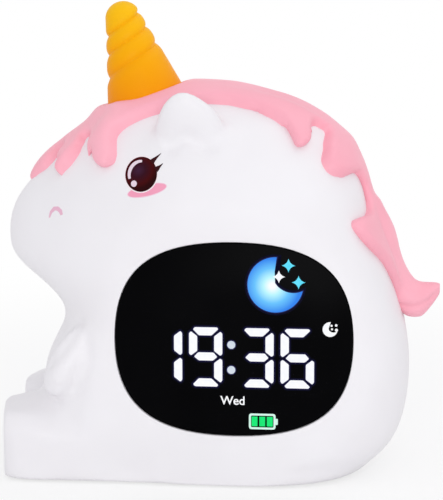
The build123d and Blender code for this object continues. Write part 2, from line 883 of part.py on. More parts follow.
# Back panel with button holes, grille, socket and switch slots, board posts and a speaker ring
with BuildPart() as back_panel:
    with BuildSketch(rear_plane(panel_back)):
        add(window_oval(0))
    extrude(amount=panel_thickness)
    with BuildSketch(rear_plane(panel_back)):
        with Locations(speaker_place):
            Circle(speaker_radius + fit_gap + speaker_wall)
            Circle(speaker_radius + fit_gap, mode=Mode.SUBTRACT)
    extrude(amount=-speaker_wall_height)
    with BuildSketch(rear_plane(panel_back)):
        with Locations(*board_post_places):
            Circle(board_post_radius)
    extrude(amount=-board_standoff)
    with BuildSketch(rear_plane(board_face)):
        with Locations(*board_post_places):
            Circle(board_screw_radius + fit_gap)
    extrude(amount=board_standoff, mode=Mode.SUBTRACT)
    with BuildSketch(rear_plane(panel_back)):
        with Locations(*button_places):
            Circle(button_radius + slide_gap)
        with Locations(socket_place):
            SlotOverall(socket_width + 2 * slide_gap, socket_height + 2 * slide_gap)
        with Locations(slot_place):
            Rectangle(slot_length, knob_width + 2 * slide_gap)
        with Locations(speaker_place):
            Circle(grille_hole_radius)
            for ring in range(1, grille_rings + 1):
                with PolarLocations(ring * grille_ring_radius, grille_rings * 3 * ring):
                    Circle(grille_hole_radius)
    extrude(amount=panel_thickness, mode=Mode.SUBTRACT)
    with BuildSketch(rear_plane(panel_back)):
        with panel_screw_places:
            Circle(panel_screw_radius + fit_gap)
    extrude(amount=panel_thickness, mode=Mode.SUBTRACT)
    with BuildSketch(rear_plane(panel_front)):
        with panel_screw_places:
            Circle(panel_screw_head_radius + fit_gap)
    head_taper = math.degrees(math.atan((panel_screw_head_radius - panel_screw_radius) / panel_screw_head_radius))
    extrude(amount=-panel_screw_head_radius, taper=head_taper, mode=Mode.SUBTRACT)
back_panel.part.label = "back_panel"

# Main board on the panel's posts
with BuildPart() as main_board:
    with BuildSketch(rear_plane(board_back)):
        with Locations(board_place):
            RectangleRounded(main_board_length, main_board_height, main_board_corner)
        with Locations(*board_post_places):
            Circle(board_screw_radius + fit_gap, mode=Mode.SUBTRACT)
    extrude(amount=board_thickness)
main_board.part.label = "main_board"

# Push switches, one under each button, with a bore for the button's stem
with BuildPart() as tact_switches:
    with BuildSketch(rear_plane(board_face)):
        with Locations(*button_places):
            Rectangle(tact_size, tact_size)
    extrude(amount=tact_height)
    with BuildSketch(rear_plane(tact_face)):
        with Locations(*button_places):
            Circle(stem_radius + slide_gap)
    extrude(amount=-tact_bore_depth, mode=Mode.SUBTRACT)
tact_switches.part.label = "tact_switches"

# Six round buttons, each with a retaining flange behind the panel and a stem to its switch
button_names = ("button_set", "button_alarm", "button_up", "button_down", "button_light", "button_sound")
button_top = flank
flange_face = panel_back - fit_gap
buttons = []
for button_name, button_place in zip(button_names, button_places):
    with BuildPart() as button:
        with BuildSketch(rear_plane(flange_face)):
            with Locations(button_place):
                Circle(button_radius)
        extrude(amount=button_top - flange_face)
        chamfer(button.faces().sort_by(Axis.Y)[-1].edges(), button_edge)
        with BuildSketch(rear_plane(flange_face)):
            with Locations(button_place):
                Circle(button_flange_radius)
        extrude(amount=-button_flange)
        with BuildSketch(rear_plane(flange_face - button_flange)):
            with Locations(button_place):
                Circle(stem_radius)
        extrude(amount=-(flange_face - button_flange - tact_face + stem_entry))
    button.part.label = button_name
    buttons.append(button.part)

# Slide switch case on the board, and the knob that runs in the panel's slot
lever_slot_length = lever_length + knob_travel + 2 * slide_gap
switch_face = board_face + switch_height
with BuildPart() as switch_case:
    with BuildSketch(rear_plane(board_face)):
        with Locations(slot_place):
            Rectangle(switch_length, switch_width)
    extrude(amount=switch_height)
    with BuildSketch(rear_plane(switch_face)):
        with Locations(slot_place):
            Rectangle(lever_slot_length, lever_width + 2 * slide_gap)
    extrude(amount=-lever_depth - slide_gap, mode=Mode.SUBTRACT)
switch_case.part.label = "switch_case"

with BuildPart() as power_switch:
    with BuildSketch(rear_plane(switch_face + slide_gap)):
        with Locations(switch_place):
            Rectangle(knob_length, knob_width)
    extrude(amount=panel_front + knob_proud - switch_face - slide_gap)
    chamfer(power_switch.faces().sort_by(Axis.Y)[-1].edges(), slide_gap)
    with BuildSketch(rear_plane(switch_face + slide_gap)):
        with Locations(switch_place):
            Rectangle(lever_length, lever_width)
    extrude(amount=-lever_depth - slide_gap)
power_switch.part.label = "power_switch"

# Charging socket: a rounded metal sleeve on the board with a contact tongue inside
socket_face = panel_front - socket_inset
with BuildPart() as usb_socket:
    with BuildSketch(rear_plane(board_face)):
        with Locations(socket_place):
            SlotOverall(socket_width, socket_height)
    extrude(amount=socket_face - board_face)
    with BuildSketch(rear_plane(socket_face)):
        with Locations(socket_place):
            SlotOverall(socket_width - 2 * socket_skin, socket_height - 2 * socket_skin)
    extrude(amount=-socket_depth, mode=Mode.SUBTRACT)
    with BuildSketch(rear_plane(socket_face - socket_depth)):
        with Locations(socket_place):
            Rectangle(tongue_width, tongue_height)
    extrude(amount=tongue_length)
usb_socket.part.label = "usb_socket"

# Speaker behind the grille: basket, cone and magnet turned about one axis
speaker_plane = Plane(
    origin=(window_x, panel_back, window_z + speaker_rise), x_dir=(1, 0, 0), z_dir=(0, 0, 1)
)
speaker_axis = Axis(speaker_plane.origin, speaker_plane.y_dir)
basket_floor = -speaker_basket_depth
rim_radius = speaker_radius - speaker_rim
with BuildPart() as speaker_frame:
    with BuildSketch(speaker_plane):
        with BuildLine():
            Polyline(
                (rim_radius, 0),
                (speaker_radius, 0),
                (speaker_radius, -speaker_lip),
                (rim_radius + speaker_skin, -speaker_lip),
                (speaker_magnet_radius, basket_floor),
                (cap_radius, basket_floor),
                (cap_radius, basket_floor + speaker_skin),
                (speaker_magnet_radius - speaker_skin, basket_floor + speaker_skin),
                (rim_radius, -speaker_lip),
                close=True,
            )
        make_face()
    revolve(axis=speaker_axis)
speaker_frame.part.label = "speaker_frame"

with BuildPart() as speaker_magnet:
    with BuildSketch(rear_plane(panel_back - speaker_basket_depth)):
        with Locations(speaker_place):
            Circle(speaker_magnet_radius)
    extrude(amount=-speaker_magnet_depth)
speaker_magnet.part.label = "speaker_magnet"

cone_edge = -speaker_lip / 2
with BuildPart() as speaker_cone:
    with BuildSketch(speaker_plane):
        with BuildLine():
            Polyline(
                (rim_radius - fit_gap, cone_edge),
                (rim_radius - fit_gap, cone_edge - cone_skin),
                (cap_radius, -cone_depth - cone_skin),
                (0, -cone_depth - cone_skin),
                (0, -cone_depth + cone_skin),
                (cap_radius, -cone_depth),
                close=True,
            )
        make_face()
    revolve(axis=speaker_axis)
speaker_cone.part.label = "speaker_cone"

# Rechargeable cell lying along X in an open cradle on the floor
cradle_length = cell_length + cell_cap_height + 2 * slide_gap + 2 * cradle_wall
cradle_width = 2 * (cell_radius + slide_gap + cradle_wall)
cell_middle = along(cell_length_share)
cell_level = floor_level + cradle_wall + cell_radius
cell_end = Plane.YZ.offset(cell_middle - cell_length / 2)
with BuildPart() as battery:
    with BuildSketch(cell_end):
        with Locations((0, cell_level)):
            Circle(cell_radius)
    extrude(amount=cell_length)
    fillet(battery.edges().filter_by(GeomType.CIRCLE), cell_cap_height / 2)
    with BuildSketch(cell_end.offset(cell_length)):
        with Locations((0, cell_level)):
            Circle(cell_cap_radius)
    extrude(amount=cell_cap_height)
battery.part.label = "battery"

cradle_middle = cell_middle + cell_cap_height / 2
with BuildPart() as battery_cradle:
    with BuildSketch(Plane.XY.offset(floor_level)):
        with Locations((cradle_middle, 0)):
            Rectangle(cradle_length, cradle_width)
    extrude(amount=cradle_height)
    with BuildSketch(Plane.XY.offset(floor_level + cradle_wall)):
        with Locations((cradle_middle, 0)):
            Rectangle(cradle_length - 2 * cradle_wall, cradle_width - 2 * cradle_wall)
    extrude(amount=cradle_height, mode=Mode.SUBTRACT)
    with BuildSketch(Plane.XY.offset(floor_level + cradle_wall + cell_radius / 2)):
        with Locations((cradle_middle, 0)):
            Rectangle(cradle_window_length, cradle_width)
    extrude(amount=cradle_height, mode=Mode.SUBTRACT)
battery_cradle.part.label = "battery_cradle"

# Night light in the head: a small board on two posts, with its diodes facing the display side
lamp_place = side_point(lamp_shares)
with BuildPart() as night_light_board:
    with BuildSketch(Plane.XZ.offset(-lamp_board_offset)):
        with Locations(lamp_place):
            RectangleRounded(lamp_board_length, lamp_board_height, lamp_board_corner)
        with Locations(*lamp_places):
            Circle(board_screw_radius + fit_gap, mode=Mode.SUBTRACT)
    extrude(amount=-board_thickness)
night_light_board.part.label = "night_light_board"

with BuildPart() as night_light_leds:
    with BuildSketch(Plane.XZ.offset(-lamp_board_offset)):
        with Locations(lamp_place):
            with GridLocations(lamp_led_pitch, lamp_led_pitch, lamp_led_count // 2, lamp_led_count // 2):
                Rectangle(lamp_led_size, lamp_led_size)
    extrude(amount=lamp_led_height)
night_light_leds.part.label = "night_light_leds"

# Screws: four through the housing, four in the panel, and one kind for all boards
with BuildPart() as case_screws:
    with BuildSketch(Plane.XZ.offset(-case_screw_seat)):
        with Locations(*case_screw_places):
            Circle(case_screw_head_radius)
    extrude(amount=-case_screw_head)
    with BuildSketch(Plane.XZ.offset(-case_screw_seat)):
        with Locations(*case_screw_places):
            Circle(case_screw_radius)
    extrude(amount=case_screw_length)
case_screws.part.label = "case_screws"

with BuildPart() as panel_screws:
    with BuildSketch(rear_plane(panel_front)):
        with panel_screw_places:
            Circle(panel_screw_head_radius)
    extrude(amount=-panel_screw_head_radius, taper=head_taper)
    with BuildSketch(rear_plane(panel_front)):
        with panel_screw_places:
            Circle(panel_screw_radius)
    extrude(amount=-panel_screw_length)
panel_screws.part.label = "panel_screws"

with BuildPart() as board_screws:
    with BuildSketch(rear_plane(board_back)):
        with Locations(*board_post_places):
            Circle(board_screw_head_radius)
    extrude(amount=-board_screw_head)
    with BuildSketch(rear_plane(board_back)):
        with Locations(*board_post_places):
            Circle(board_screw_radius)
    extrude(amount=board_screw_length)
    with BuildSketch(front_plane(led_board_front - board_thickness)):
        with led_post_places:
            Circle(board_screw_head_radius)
    extrude(amount=-board_screw_head)
    with BuildSketch(front_plane(led_board_front - board_thickness)):
        with led_post_places:
            Circle(board_screw_radius)
    extrude(amount=board_screw_length)
    with BuildSketch(Plane.XZ.offset(-lamp_board_offset)):
        with Locations(*lamp_places):
            Circle(board_screw_head_radius)
    extrude(amount=board_screw_head)
    with BuildSketch(Plane.XZ.offset(-lamp_board_offset)):
        with Locations(*lamp_places):
            Circle(board_screw_radius)
    extrude(amount=-board_screw_length)
board_screws.part.label = "board_screws"

# Four rubber feet in seats under the paws and the rump
foot_places = [(x, y * side) for x, y in (front_foot, rear_foot) for side in (-1, 1)]
with BuildPart() as rubber_feet:
    with BuildSketch(Plane.XY):
        with Locations(*foot_places):
            Circle(foot_radius)
    extrude(amount=foot_height)
    chamfer(rubber_feet.faces().group_by(Axis.Z)[0].edges(), foot_proud / 2)
rubber_feet.part.label = "rubber_feet"

pieces = [
    front_shell.part,
    rear_shell.part,
    horn.part,
    horn_screw.part,
    mane.part,
    display_window.part,
    window_tape.part,
    led_reflector.part,
    digit_segments.part,
    display_leds.part,
    led_board.part,
    back_panel.part,
    main_board.part,
    tact_switches.part,
    switch_case.part,
    power_switch.part,
    usb_socket.part,
    speaker_frame.part,
    speaker_cone.part,
    speaker_magnet.part,
    battery.part,
    battery_cradle.part,
    night_light_board.part,
    night_light_leds.part,
    case_screws.part,
    panel_screws.part,
    board_screws.part,
    rubber_feet.part,
]
pieces += buttons

os.makedirs("parts", exist_ok=True)
for piece in pieces:
    export_step(piece, "parts/" + piece.label + ".step")
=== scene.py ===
# %% [markdown]
# # A bedside clock shaped as a sitting unicorn
# The CAD model already holds every piece at its real size. This lesson gives those pieces their looks.
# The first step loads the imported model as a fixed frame. All lengths are in metres, in the CAD frame:
# +Z is up, the muzzle points to -X, and the display looks along -Y.

# %% Load the frame
import json
import math

import bmesh
import bpy
import numpy as np
from mathutils import Matrix, Vector
from mathutils.bvhtree import BVHTree


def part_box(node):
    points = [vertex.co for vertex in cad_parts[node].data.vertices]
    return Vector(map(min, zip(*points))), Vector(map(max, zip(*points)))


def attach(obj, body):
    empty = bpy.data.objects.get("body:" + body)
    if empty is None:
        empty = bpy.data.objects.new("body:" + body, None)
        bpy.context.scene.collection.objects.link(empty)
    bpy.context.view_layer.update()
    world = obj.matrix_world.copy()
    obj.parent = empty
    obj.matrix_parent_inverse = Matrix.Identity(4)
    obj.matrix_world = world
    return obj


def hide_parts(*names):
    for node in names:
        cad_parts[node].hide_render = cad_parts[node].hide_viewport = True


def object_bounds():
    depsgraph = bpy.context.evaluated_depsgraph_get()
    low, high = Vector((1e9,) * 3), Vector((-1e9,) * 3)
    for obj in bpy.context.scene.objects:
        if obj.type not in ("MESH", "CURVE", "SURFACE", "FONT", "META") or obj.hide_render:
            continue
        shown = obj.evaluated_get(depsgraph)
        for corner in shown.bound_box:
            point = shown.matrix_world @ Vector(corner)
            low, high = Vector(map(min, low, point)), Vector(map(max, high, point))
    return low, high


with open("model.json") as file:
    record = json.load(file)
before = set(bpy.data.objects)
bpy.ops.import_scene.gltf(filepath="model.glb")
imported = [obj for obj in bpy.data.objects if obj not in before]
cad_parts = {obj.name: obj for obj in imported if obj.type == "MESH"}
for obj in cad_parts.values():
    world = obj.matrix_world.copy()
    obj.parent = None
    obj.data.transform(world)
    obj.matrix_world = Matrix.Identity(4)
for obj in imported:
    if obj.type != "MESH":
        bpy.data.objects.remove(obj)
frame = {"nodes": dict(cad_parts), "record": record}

MM = 0.001
nodes = frame["nodes"]
cad_low, cad_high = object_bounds()
print("CAD nodes:", len(nodes), "box in mm:", [round(v / MM, 1) for v in cad_high - cad_low])

# %% [markdown]
# ## Camera
# A product photographer stands a little to the tail side of the clock and looks slightly down.
# A long lens from 65 cm keeps the shape free of distortion. The lens follows from how much height
# the picture has to cover at the clock, so one number sets the framing.

# %% Camera
scene = bpy.context.scene
scene.view_settings.view_transform = "Standard"

view_target = Vector((-1.4, 0, 71)) * MM
view_distance = 650 * MM
view_azimuth = math.radians(6)
view_elevation = math.radians(8.5)
picture_height = 167.5 * MM

towards_camera = Vector((
    math.sin(view_azimuth) * math.cos(view_elevation),
    -math.cos(view_azimuth) * math.cos(view_elevation),
    math.sin(view_elevation),
))
camera_data = bpy.data.cameras.new("product_camera")
camera_data.lens = camera_data.sensor_width * view_distance / picture_height
camera_data.clip_start = view_distance / 10
camera = bpy.data.objects.new("product_camera", camera_data)
camera.location = view_target + towards_camera * view_distance
camera.rotation_euler = (-towards_camera).to_track_quat("-Z", "Y").to_euler()
scene.collection.objects.link(camera)
scene.camera = camera
print("lens", round(camera_data.lens, 1), "mm")

# %% [markdown]
# ## Small mesh helpers
# Most pieces start from points that a formula gives. These helpers turn rows of points into a mesh
# object and keep the bmesh bookkeeping in one place. A loft joins closed rings of equal count and caps
# both ends, which is how the lens, the horn and all the cutting tools are made.

# %% Mesh helpers
def new_object(name, mesh):
    """A mesh object linked to the scene."""
    piece = bpy.data.objects.new(name, mesh)
    scene.collection.objects.link(piece)
    return piece


def finish_bmesh(bm, name):
    """A named object from a bmesh, with its faces turned outwards."""
    bmesh.ops.recalc_face_normals(bm, faces=bm.faces)
    mesh = bpy.data.meshes.new(name)
    bm.to_mesh(mesh)
    bm.free()
    return new_object(name, mesh)


def loft(name, rings):
    """A closed solid through rings of points that all have the same count."""
    bm = bmesh.new()
    rows = [[bm.verts.new(point) for point in ring] for ring in rings]
    count = len(rows[0])
    for lower, upper in zip(rows, rows[1:]):
        for step in range(count):
            after = (step + 1) % count
            bm.faces.new((lower[step], lower[after], upper[after], upper[step]))
    bm.faces.new(rows[0])
    bm.faces.new(rows[-1])
    return finish_bmesh(bm, name)


def smooth_shade(piece, crease_degrees):
    """Smooth shading that keeps edges sharper than the crease angle crisp."""
    mesh = piece.data
    mesh.shade_smooth()
    mesh.set_sharp_from_angle(angle=math.radians(crease_degrees))


def apply_modifiers(piece):
    """Bakes the modifiers of a piece into its own mesh."""
    graph = bpy.context.evaluated_depsgraph_get()
    mesh = bpy.data.meshes.new_from_object(piece.evaluated_get(graph))
    piece.modifiers.clear()
    piece.data = mesh


def boolean(piece, tool, operation):
    """Combines a piece with a tool solid, which is then thrown away."""
    modifier = piece.modifiers.new("combine", "BOOLEAN")
    modifier.operation = operation
    modifier.solver = "MANIFOLD"
    modifier.object = tool
    apply_modifiers(piece)
    bpy.data.objects.remove(tool)

# %% [markdown]
# ## Finishes
# Moulded plastic is never one flat colour: the tone drifts a little over a hand's width, and the tool
# leaves a fine grain that breaks up the highlights. Each finish here mixes two close tones with a
# large soft noise and adds the grain as bump. The noise reads object coordinates, so it stays with
# the piece when the piece moves.

# %% Finish helpers
grain_depth = 0.02 * MM


def new_finish(name, roughness):
    """A material with its node tree and its shader."""
    finish = bpy.data.materials.new(name)
    finish.use_nodes = True
    shader = finish.node_tree.nodes["Principled BSDF"]
    shader.inputs["Roughness"].default_value = roughness
    return finish, finish.node_tree, shader


def noise_node(tree, scale, detail=2.0):
    """A noise texture in object coordinates. Its scale is in waves per metre."""
    place = tree.nodes.new("ShaderNodeTexCoord")
    noise = tree.nodes.new("ShaderNodeTexNoise")
    noise.inputs["Scale"].default_value = scale
    noise.inputs["Detail"].default_value = detail
    tree.links.new(place.outputs["Object"], noise.inputs["Vector"])
    return noise


def ramp_node(tree, source, stops):
    """A colour ramp fed by a value. Stops are pairs of position and colour."""
    ramp = tree.nodes.new("ShaderNodeValToRGB")
    for extra in range(len(stops) - 2):
        ramp.color_ramp.elements.new(0.5)
    for element, (position, colour) in zip(ramp.color_ramp.elements, stops):
        element.position = position
        element.color = (*colour, 1)
    tree.links.new(source, ramp.inputs["Fac"])
    return ramp


def add_grain(tree, shader, scale, strength):
    """Fine moulded grain as bump."""
    grain = noise_node(tree, scale, 3.0)
    bump = tree.nodes.new("ShaderNodeBump")
    bump.inputs["Strength"].default_value = strength
    bump.inputs["Distance"].default_value = grain_depth
    tree.links.new(grain.outputs["Fac"], bump.inputs["Height"])
    tree.links.new(bump.outputs["Normal"], shader.inputs["Normal"])


def moulded(name, tone_low, tone_high, roughness, drift=35.0, grain=2600.0, grain_strength=0.25):
    """Moulded plastic or rubber: two close tones in a slow drift, and a fine grain."""
    finish, tree, shader = new_finish(name, roughness)
    tone = noise_node(tree, drift)
    ramp = ramp_node(tree, tone.outputs["Fac"], [(0.3, tone_low), (0.7, tone_high)])
    tree.links.new(ramp.outputs["Color"], shader.inputs["Base Color"])
    add_grain(tree, shader, grain, grain_strength)
    return finish


def dress(piece, finish):
    """Gives a whole piece one finish."""
    piece.data.materials.clear()
    piece.data.materials.append(finish)

# %% [markdown]
# ## Housing skin
# The CAD halves hold the true form, with sharp meeting lines where an arm or an ear joins the body.
# On the real moulding those lines are soft. Plugs close the openings, and a voxel remesh turns the
# two halves into one even skin of small faces, which the next step can blend.

# %% Oval rings
# The window family is an oval of four curves. The share says how full the curves are.
window_full_share = 0.70
window_low, window_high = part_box("display_window")
window_centre = (window_low + window_high) / 2
window_half = (window_high - window_low) / 2
flank = -cad_low.y
oval_steps = 24


def quarter_point(share):
    """Point on the first quarter of the unit oval."""
    rest = 1 - share
    across = rest**3 + 3 * rest**2 * share + 3 * rest * share**2 * window_full_share
    rise = 3 * rest**2 * share * window_full_share + 3 * rest * share**2 + share**3
    return across, rise


def oval_ring(depth, growth, side=-1):
    """The window's outline at a depth from the mid-plane, grown by growth, on one side of the clock."""
    quarter = [quarter_point(step / oval_steps) for step in range(oval_steps)]
    unit = []
    for turn in range(4):
        for across, rise in quarter:
            for _ in range(turn):
                across, rise = -rise, across
            unit.append((across, rise))
    half_x = window_half.x + growth
    half_z = window_half.z + growth
    return [
        Vector((window_centre.x + across * half_x, side * depth, window_centre.z + rise * half_z))
        for across, rise in unit
    ]


print("window", [round(2 * v / MM, 1) for v in window_half])

# %% Skin
skin_voxel = 0.8 * MM
plug_inside = flank - 6 * MM
plug_lap = 1.5 * MM
horn_seat = Vector((-27.3, 0, 124.25)) * MM
horn_lean = math.radians(16)
horn_axis = Vector((-math.sin(horn_lean), 0, math.cos(horn_lean)))


def welded_copy(name, *cad_names):
    """One new object with the meshes of some CAD nodes, welded at their shared corners."""
    bm = bmesh.new()
    for cad_name in cad_names:
        bm.from_mesh(nodes[cad_name].data)
    bmesh.ops.remove_doubles(bm, verts=bm.verts, dist=0.001 * MM)
    mesh = bpy.data.meshes.new(name)
    bm.to_mesh(mesh)
    bm.free()
    return new_object(name, mesh)


def disc_ring(centre, axis, radius, count=32):
    """Circle of points round an axis."""
    sideways = axis.orthogonal().normalized()
    upwards = axis.normalized().cross(sideways)
    turns = [2 * math.pi * step / count for step in range(count)]
    return [centre + radius * (math.cos(t) * sideways + math.sin(t) * upwards) for t in turns]


def bar(name, start, stop, axis, radius):
    """Round bar between two points on an axis."""
    return loft(name, [disc_ring(start, axis, radius), disc_ring(stop, axis, radius)])


def absorb(piece, *extras):
    """Adds the meshes of the extras to a piece and removes the extras."""
    bm = bmesh.new()
    bm.from_mesh(piece.data)
    for extra in extras:
        bm.from_mesh(extra.data)
        bpy.data.objects.remove(extra)
    bm.to_mesh(piece.data)
    bm.free()


def remesh(piece, voxel):
    """Even skin of small faces around everything in the piece."""
    modifier = piece.modifiers.new("even skin", "REMESH")
    modifier.mode = "VOXEL"
    modifier.voxel_size = voxel
    apply_modifiers(piece)


plug_top = horn_seat - horn_axis * 5 * MM
plug_bottom = horn_seat - horn_axis * 10 * MM
plug_radius = 6.5 * MM
skin = welded_copy("housing_skin", "front_shell", "rear_shell")
absorb(
    skin,
    loft("window_plug", [oval_ring(flank, plug_lap), oval_ring(plug_inside, plug_lap)]),
    loft("panel_plug", [oval_ring(flank, plug_lap, 1), oval_ring(plug_inside, plug_lap, 1)]),
    bar("horn_plug", plug_bottom, plug_top, horn_axis, plug_radius),
)
remesh(skin, skin_voxel)
print("skin faces", len(skin.data.polygons))

# %% [markdown]
# ## Soft blends
# Points are moved as whole rows of numbers, which is quick even on a fine mesh. The ears are drawn broader,
# the wall is brought straight down to the sole, and the paws get fuller corners: points slide from a circle
# towards a squarer curve. Relaxing then rounds every meeting line. Where only a fill is wanted, it keeps
# just the moves that go outwards, so the blends grow and nothing else shrinks. Last, soft lines part the
# arms from the chest and hollow the ears.

# %% Ears, sole and paws
# All numbers in this cell are in millimetres, or are shares.
ear_spot = ((-8, 28, 112), 17)
ear_middle = -10.4
ear_widening = 0.35
base_levels = (1.0, 7.0)
paw_span = (-42.0, -26.0)
paw_levels = (13.0, 27.0)
wall_flare = 0.115
sole_level = 0.8
sole_reach = 3.4
sole_floor = 0.6
sole_power = 1.8
paw_back = -50
paw_length = 21.6
paw_inside = 18
paw_width = 21.9
paw_top_levels = (19.0, 28.0)
front_end = -71.4
front_bow = 4.1
front_bow_start = 20
front_bow_length = 20
side_limit = 39.9
toe_back = -52
toe_length = 19.4
toe_foot = 8
toe_height = 16.5
toe_gap = (4.0, 9.0)
toe_top = 22.4


def read_points(mesh, kind="co"):
    """Places or normals of all points as rows of x, y and z."""
    values = np.empty(len(mesh.vertices) * 3)
    mesh.vertices.foreach_get(kind, values)
    return values.reshape(-1, 3)


def write_points(mesh, points):
    """Moves all points of a mesh."""
    mesh.vertices.foreach_set("co", points.ravel())
    mesh.update()


def smooth_rise(values, low, high):
    """0 below low, 1 above high, and a smooth rise between, for a whole row of numbers."""
    share = np.clip((values - low) / (high - low), 0, 1)
    return share * share * (3 - 2 * share)


def near_spot(points, spot, reach):
    """1 at a spot, fading to 0 at its reach, mirrored to both sides of the clock."""
    folded = np.column_stack((points[:, 0], np.abs(points[:, 1]), points[:, 2]))
    gap = np.linalg.norm(folded - np.array(spot) * MM, axis=1)
    return 1 - smooth_rise(gap, 0.5 * reach * MM, reach * MM)


def corner_growth(first, second):
    """Share by which a point on a round corner grows to reach a squarer corner."""
    round_norm = np.hypot(first, second)
    square_norm = (first**4 + second**4) ** 0.25 + 1e-9
    return np.where((first > 0) & (second > 0), round_norm / square_norm - 1, 0)


def slide_forward(x, move, limit):
    """Moves points towards the muzzle, but none past the limit."""
    return np.where(move > 0, np.maximum(x - move, np.minimum(x, limit)), x)


points = read_points(skin.data)
behind_ear = np.maximum(points[:, 0] - ear_middle * MM, 0) * near_spot(points, *ear_spot)
points[:, 0] += ear_widening * behind_ear

x, y, z = points.T / MM
base_share = 1 - smooth_rise(z, *base_levels)
paw_share = (1 - smooth_rise(x, *paw_span)) * (1 - smooth_rise(z, *paw_levels))
flare = 1 + wall_flare * np.maximum(base_share, paw_share)
sole_top = sole_level + sole_reach
sole_share = np.clip((z - sole_level) / sole_reach, 0, 1)
lowered = sole_floor + (sole_top - sole_floor) * sole_share**sole_power
z = np.where(z < sole_top, lowered, z)
y = y * flare

forward = np.clip((paw_back - x) / paw_length, 0, 1)
outward = np.clip((np.abs(y) - paw_inside) / paw_width, 0, 1)
squarer = corner_growth(forward, outward) * (1 - smooth_rise(z, *paw_top_levels))
front_limit = front_end + front_bow * np.clip((np.abs(y) - front_bow_start) / front_bow_length, 0, 1)
x = slide_forward(x, paw_length * forward * squarer, front_limit)
y = np.clip(y + np.sign(y) * paw_width * outward * squarer, -side_limit, side_limit)

toe = np.clip((toe_back - x) / toe_length, 0, 1)
lift = np.clip((z - toe_foot) / toe_height, 0, 1)
fuller = corner_growth(toe, lift) * smooth_rise(np.abs(y), *toe_gap)
x = slide_forward(x, toe_length * toe * fuller, front_limit)
z = np.where(fuller > 0, np.minimum(z + toe_height * lift * fuller, np.maximum(z, toe_top)), z)
write_points(skin.data, np.column_stack((x, y, z)) * MM)
print("ears, sole and paws shaped")

# %% Relaxing
# A spot is a place in millimetres with its reach. The pairs are limits between which a share rises.
arm_spot = ((-44, 36, 44), 20)
ear_root_spot = ((-9, 30, 108), 22)
hand_spot = ((-54, 34, 26), 13)
heel_spot = ((-20, 38, 8), 24)
flank_depths = (32 * MM, 36 * MM)
flank_levels = (8 * MM, 16 * MM)
flank_span = (-46 * MM, -34 * MM)
heel_levels = (2 * MM, 6 * MM)


def relax(piece, rounds, pull, fill_only=False, weight=1.0):
    """Moves each point towards the middle of its neighbours. Filling keeps only outward moves."""
    mesh = piece.data
    points = read_points(mesh)
    count = len(points)
    edges = np.empty(len(mesh.edges) * 2, dtype=int)
    mesh.edges.foreach_get("vertices", edges)
    first, second = edges.reshape(-1, 2).T
    degree = np.bincount(first, minlength=count) + np.bincount(second, minlength=count)
    share = np.broadcast_to(weight, count)[:, None] * pull
    for _ in range(rounds):
        middle = np.empty_like(points)
        for axis in range(3):
            column = points[:, axis]
            summed = np.bincount(first, column[second], count) + np.bincount(second, column[first], count)
            middle[:, axis] = summed / degree
        step = middle - points
        if fill_only:
            facing = read_points(mesh, "normal")
            outward = np.maximum((step * facing).sum(axis=1), 0)
            step = facing * outward[:, None]
        points += share * step
        write_points(mesh, points)


relax(skin, rounds=5, pull=0.5)
arm_share = near_spot(read_points(skin.data), *arm_spot)
relax(skin, rounds=40, pull=0.6, fill_only=True, weight=1 - 0.9 * arm_share)
points = read_points(skin.data)
blend_share = np.maximum(near_spot(points, *ear_root_spot), near_spot(points, *hand_spot))
relax(skin, rounds=60, pull=0.6, fill_only=True, weight=blend_share)
points = read_points(skin.data)
flank_share = smooth_rise(np.abs(points[:, 1]), *flank_depths) * smooth_rise(points[:, 2], *flank_levels)
flank_share *= smooth_rise(points[:, 0], *flank_span)
heel_share = near_spot(points, *heel_spot) * smooth_rise(points[:, 2], *heel_levels)
relax(skin, rounds=110, pull=0.5, weight=np.maximum(flank_share, heel_share))
print("skin relaxed")

# %% Arm and ear lines
# A row is a line in the side view, its width and its depth in millimetres. Swellings have a negative depth.
skin_lines = (
    (((-43.6, 51.0), (-46.2, 46.4), (-49.5, 41.9), (-54.5, 37.8)), 1.7, 1.7),
    (((-41.0, 47.5), (-40.0, 40.5), (-42.3, 33.6), (-46.6, 28.6), (-51.5, 26.0)), 1.8, 0.9),
    (((-43.4, 47.5), (-45.6, 41.0), (-49.5, 34.5)), 3.6, -1.5),
    (((-14.5, 108.2), (-9.5, 112.0), (-3.0, 108.0)), 2.4, 1.6),
)
line_depths = (18 * MM, 23 * MM)
line_facing = (0.0, 0.35)


def line_distance(points, line):
    """Distance in the side view from each point to a broken line."""
    nearest = np.full(len(points), 1e9)
    for start, stop in zip(line, line[1:]):
        first = np.array(start) * MM
        span = np.array(stop) * MM - first
        share = np.clip(((points - first) @ span) / (span @ span), 0, 1)
        gap = np.linalg.norm(points - first - share[:, None] * span, axis=1)
        nearest = np.minimum(nearest, gap)
    return nearest


def press_lines(points, facings, lines, strength):
    """Presses furrows into the points, against the way they face."""
    for line, width, depth in lines:
        gap = line_distance(points[:, (0, 2)], line)
        push = depth * MM * np.exp(-((gap / (width * MM)) ** 2)) * strength
        points -= facings * push[:, None]


points = read_points(skin.data)
normals = read_points(skin.data, "normal")
outward = normals[:, 1] * np.sign(points[:, 1])
sideways = smooth_rise(np.abs(points[:, 1]), *line_depths) * smooth_rise(outward, *line_facing)
press_lines(points, normals, skin_lines, sideways)
write_points(skin.data, points)
relax(skin, rounds=5, pull=0.5)
skin_tree = BVHTree.FromObject(skin, bpy.context.evaluated_depsgraph_get())
print("skin blended, points:", len(skin.data.vertices))

# %% [markdown]
# ## Openings in the housing
# The skin is hollow already, because the CAD halves are thin walls. The screw wells in the rear half are
# cut afresh, since the relaxing closed them a little. The window and the panel openings are cut with tools
# whose mouth flares, which leaves the small rounded edge that shows as a bright line round the window.

# %% Screw wells
screw_well_radius = 3.1 * MM
well_floor = 5 * MM
along_y = Vector((0, 1, 0))


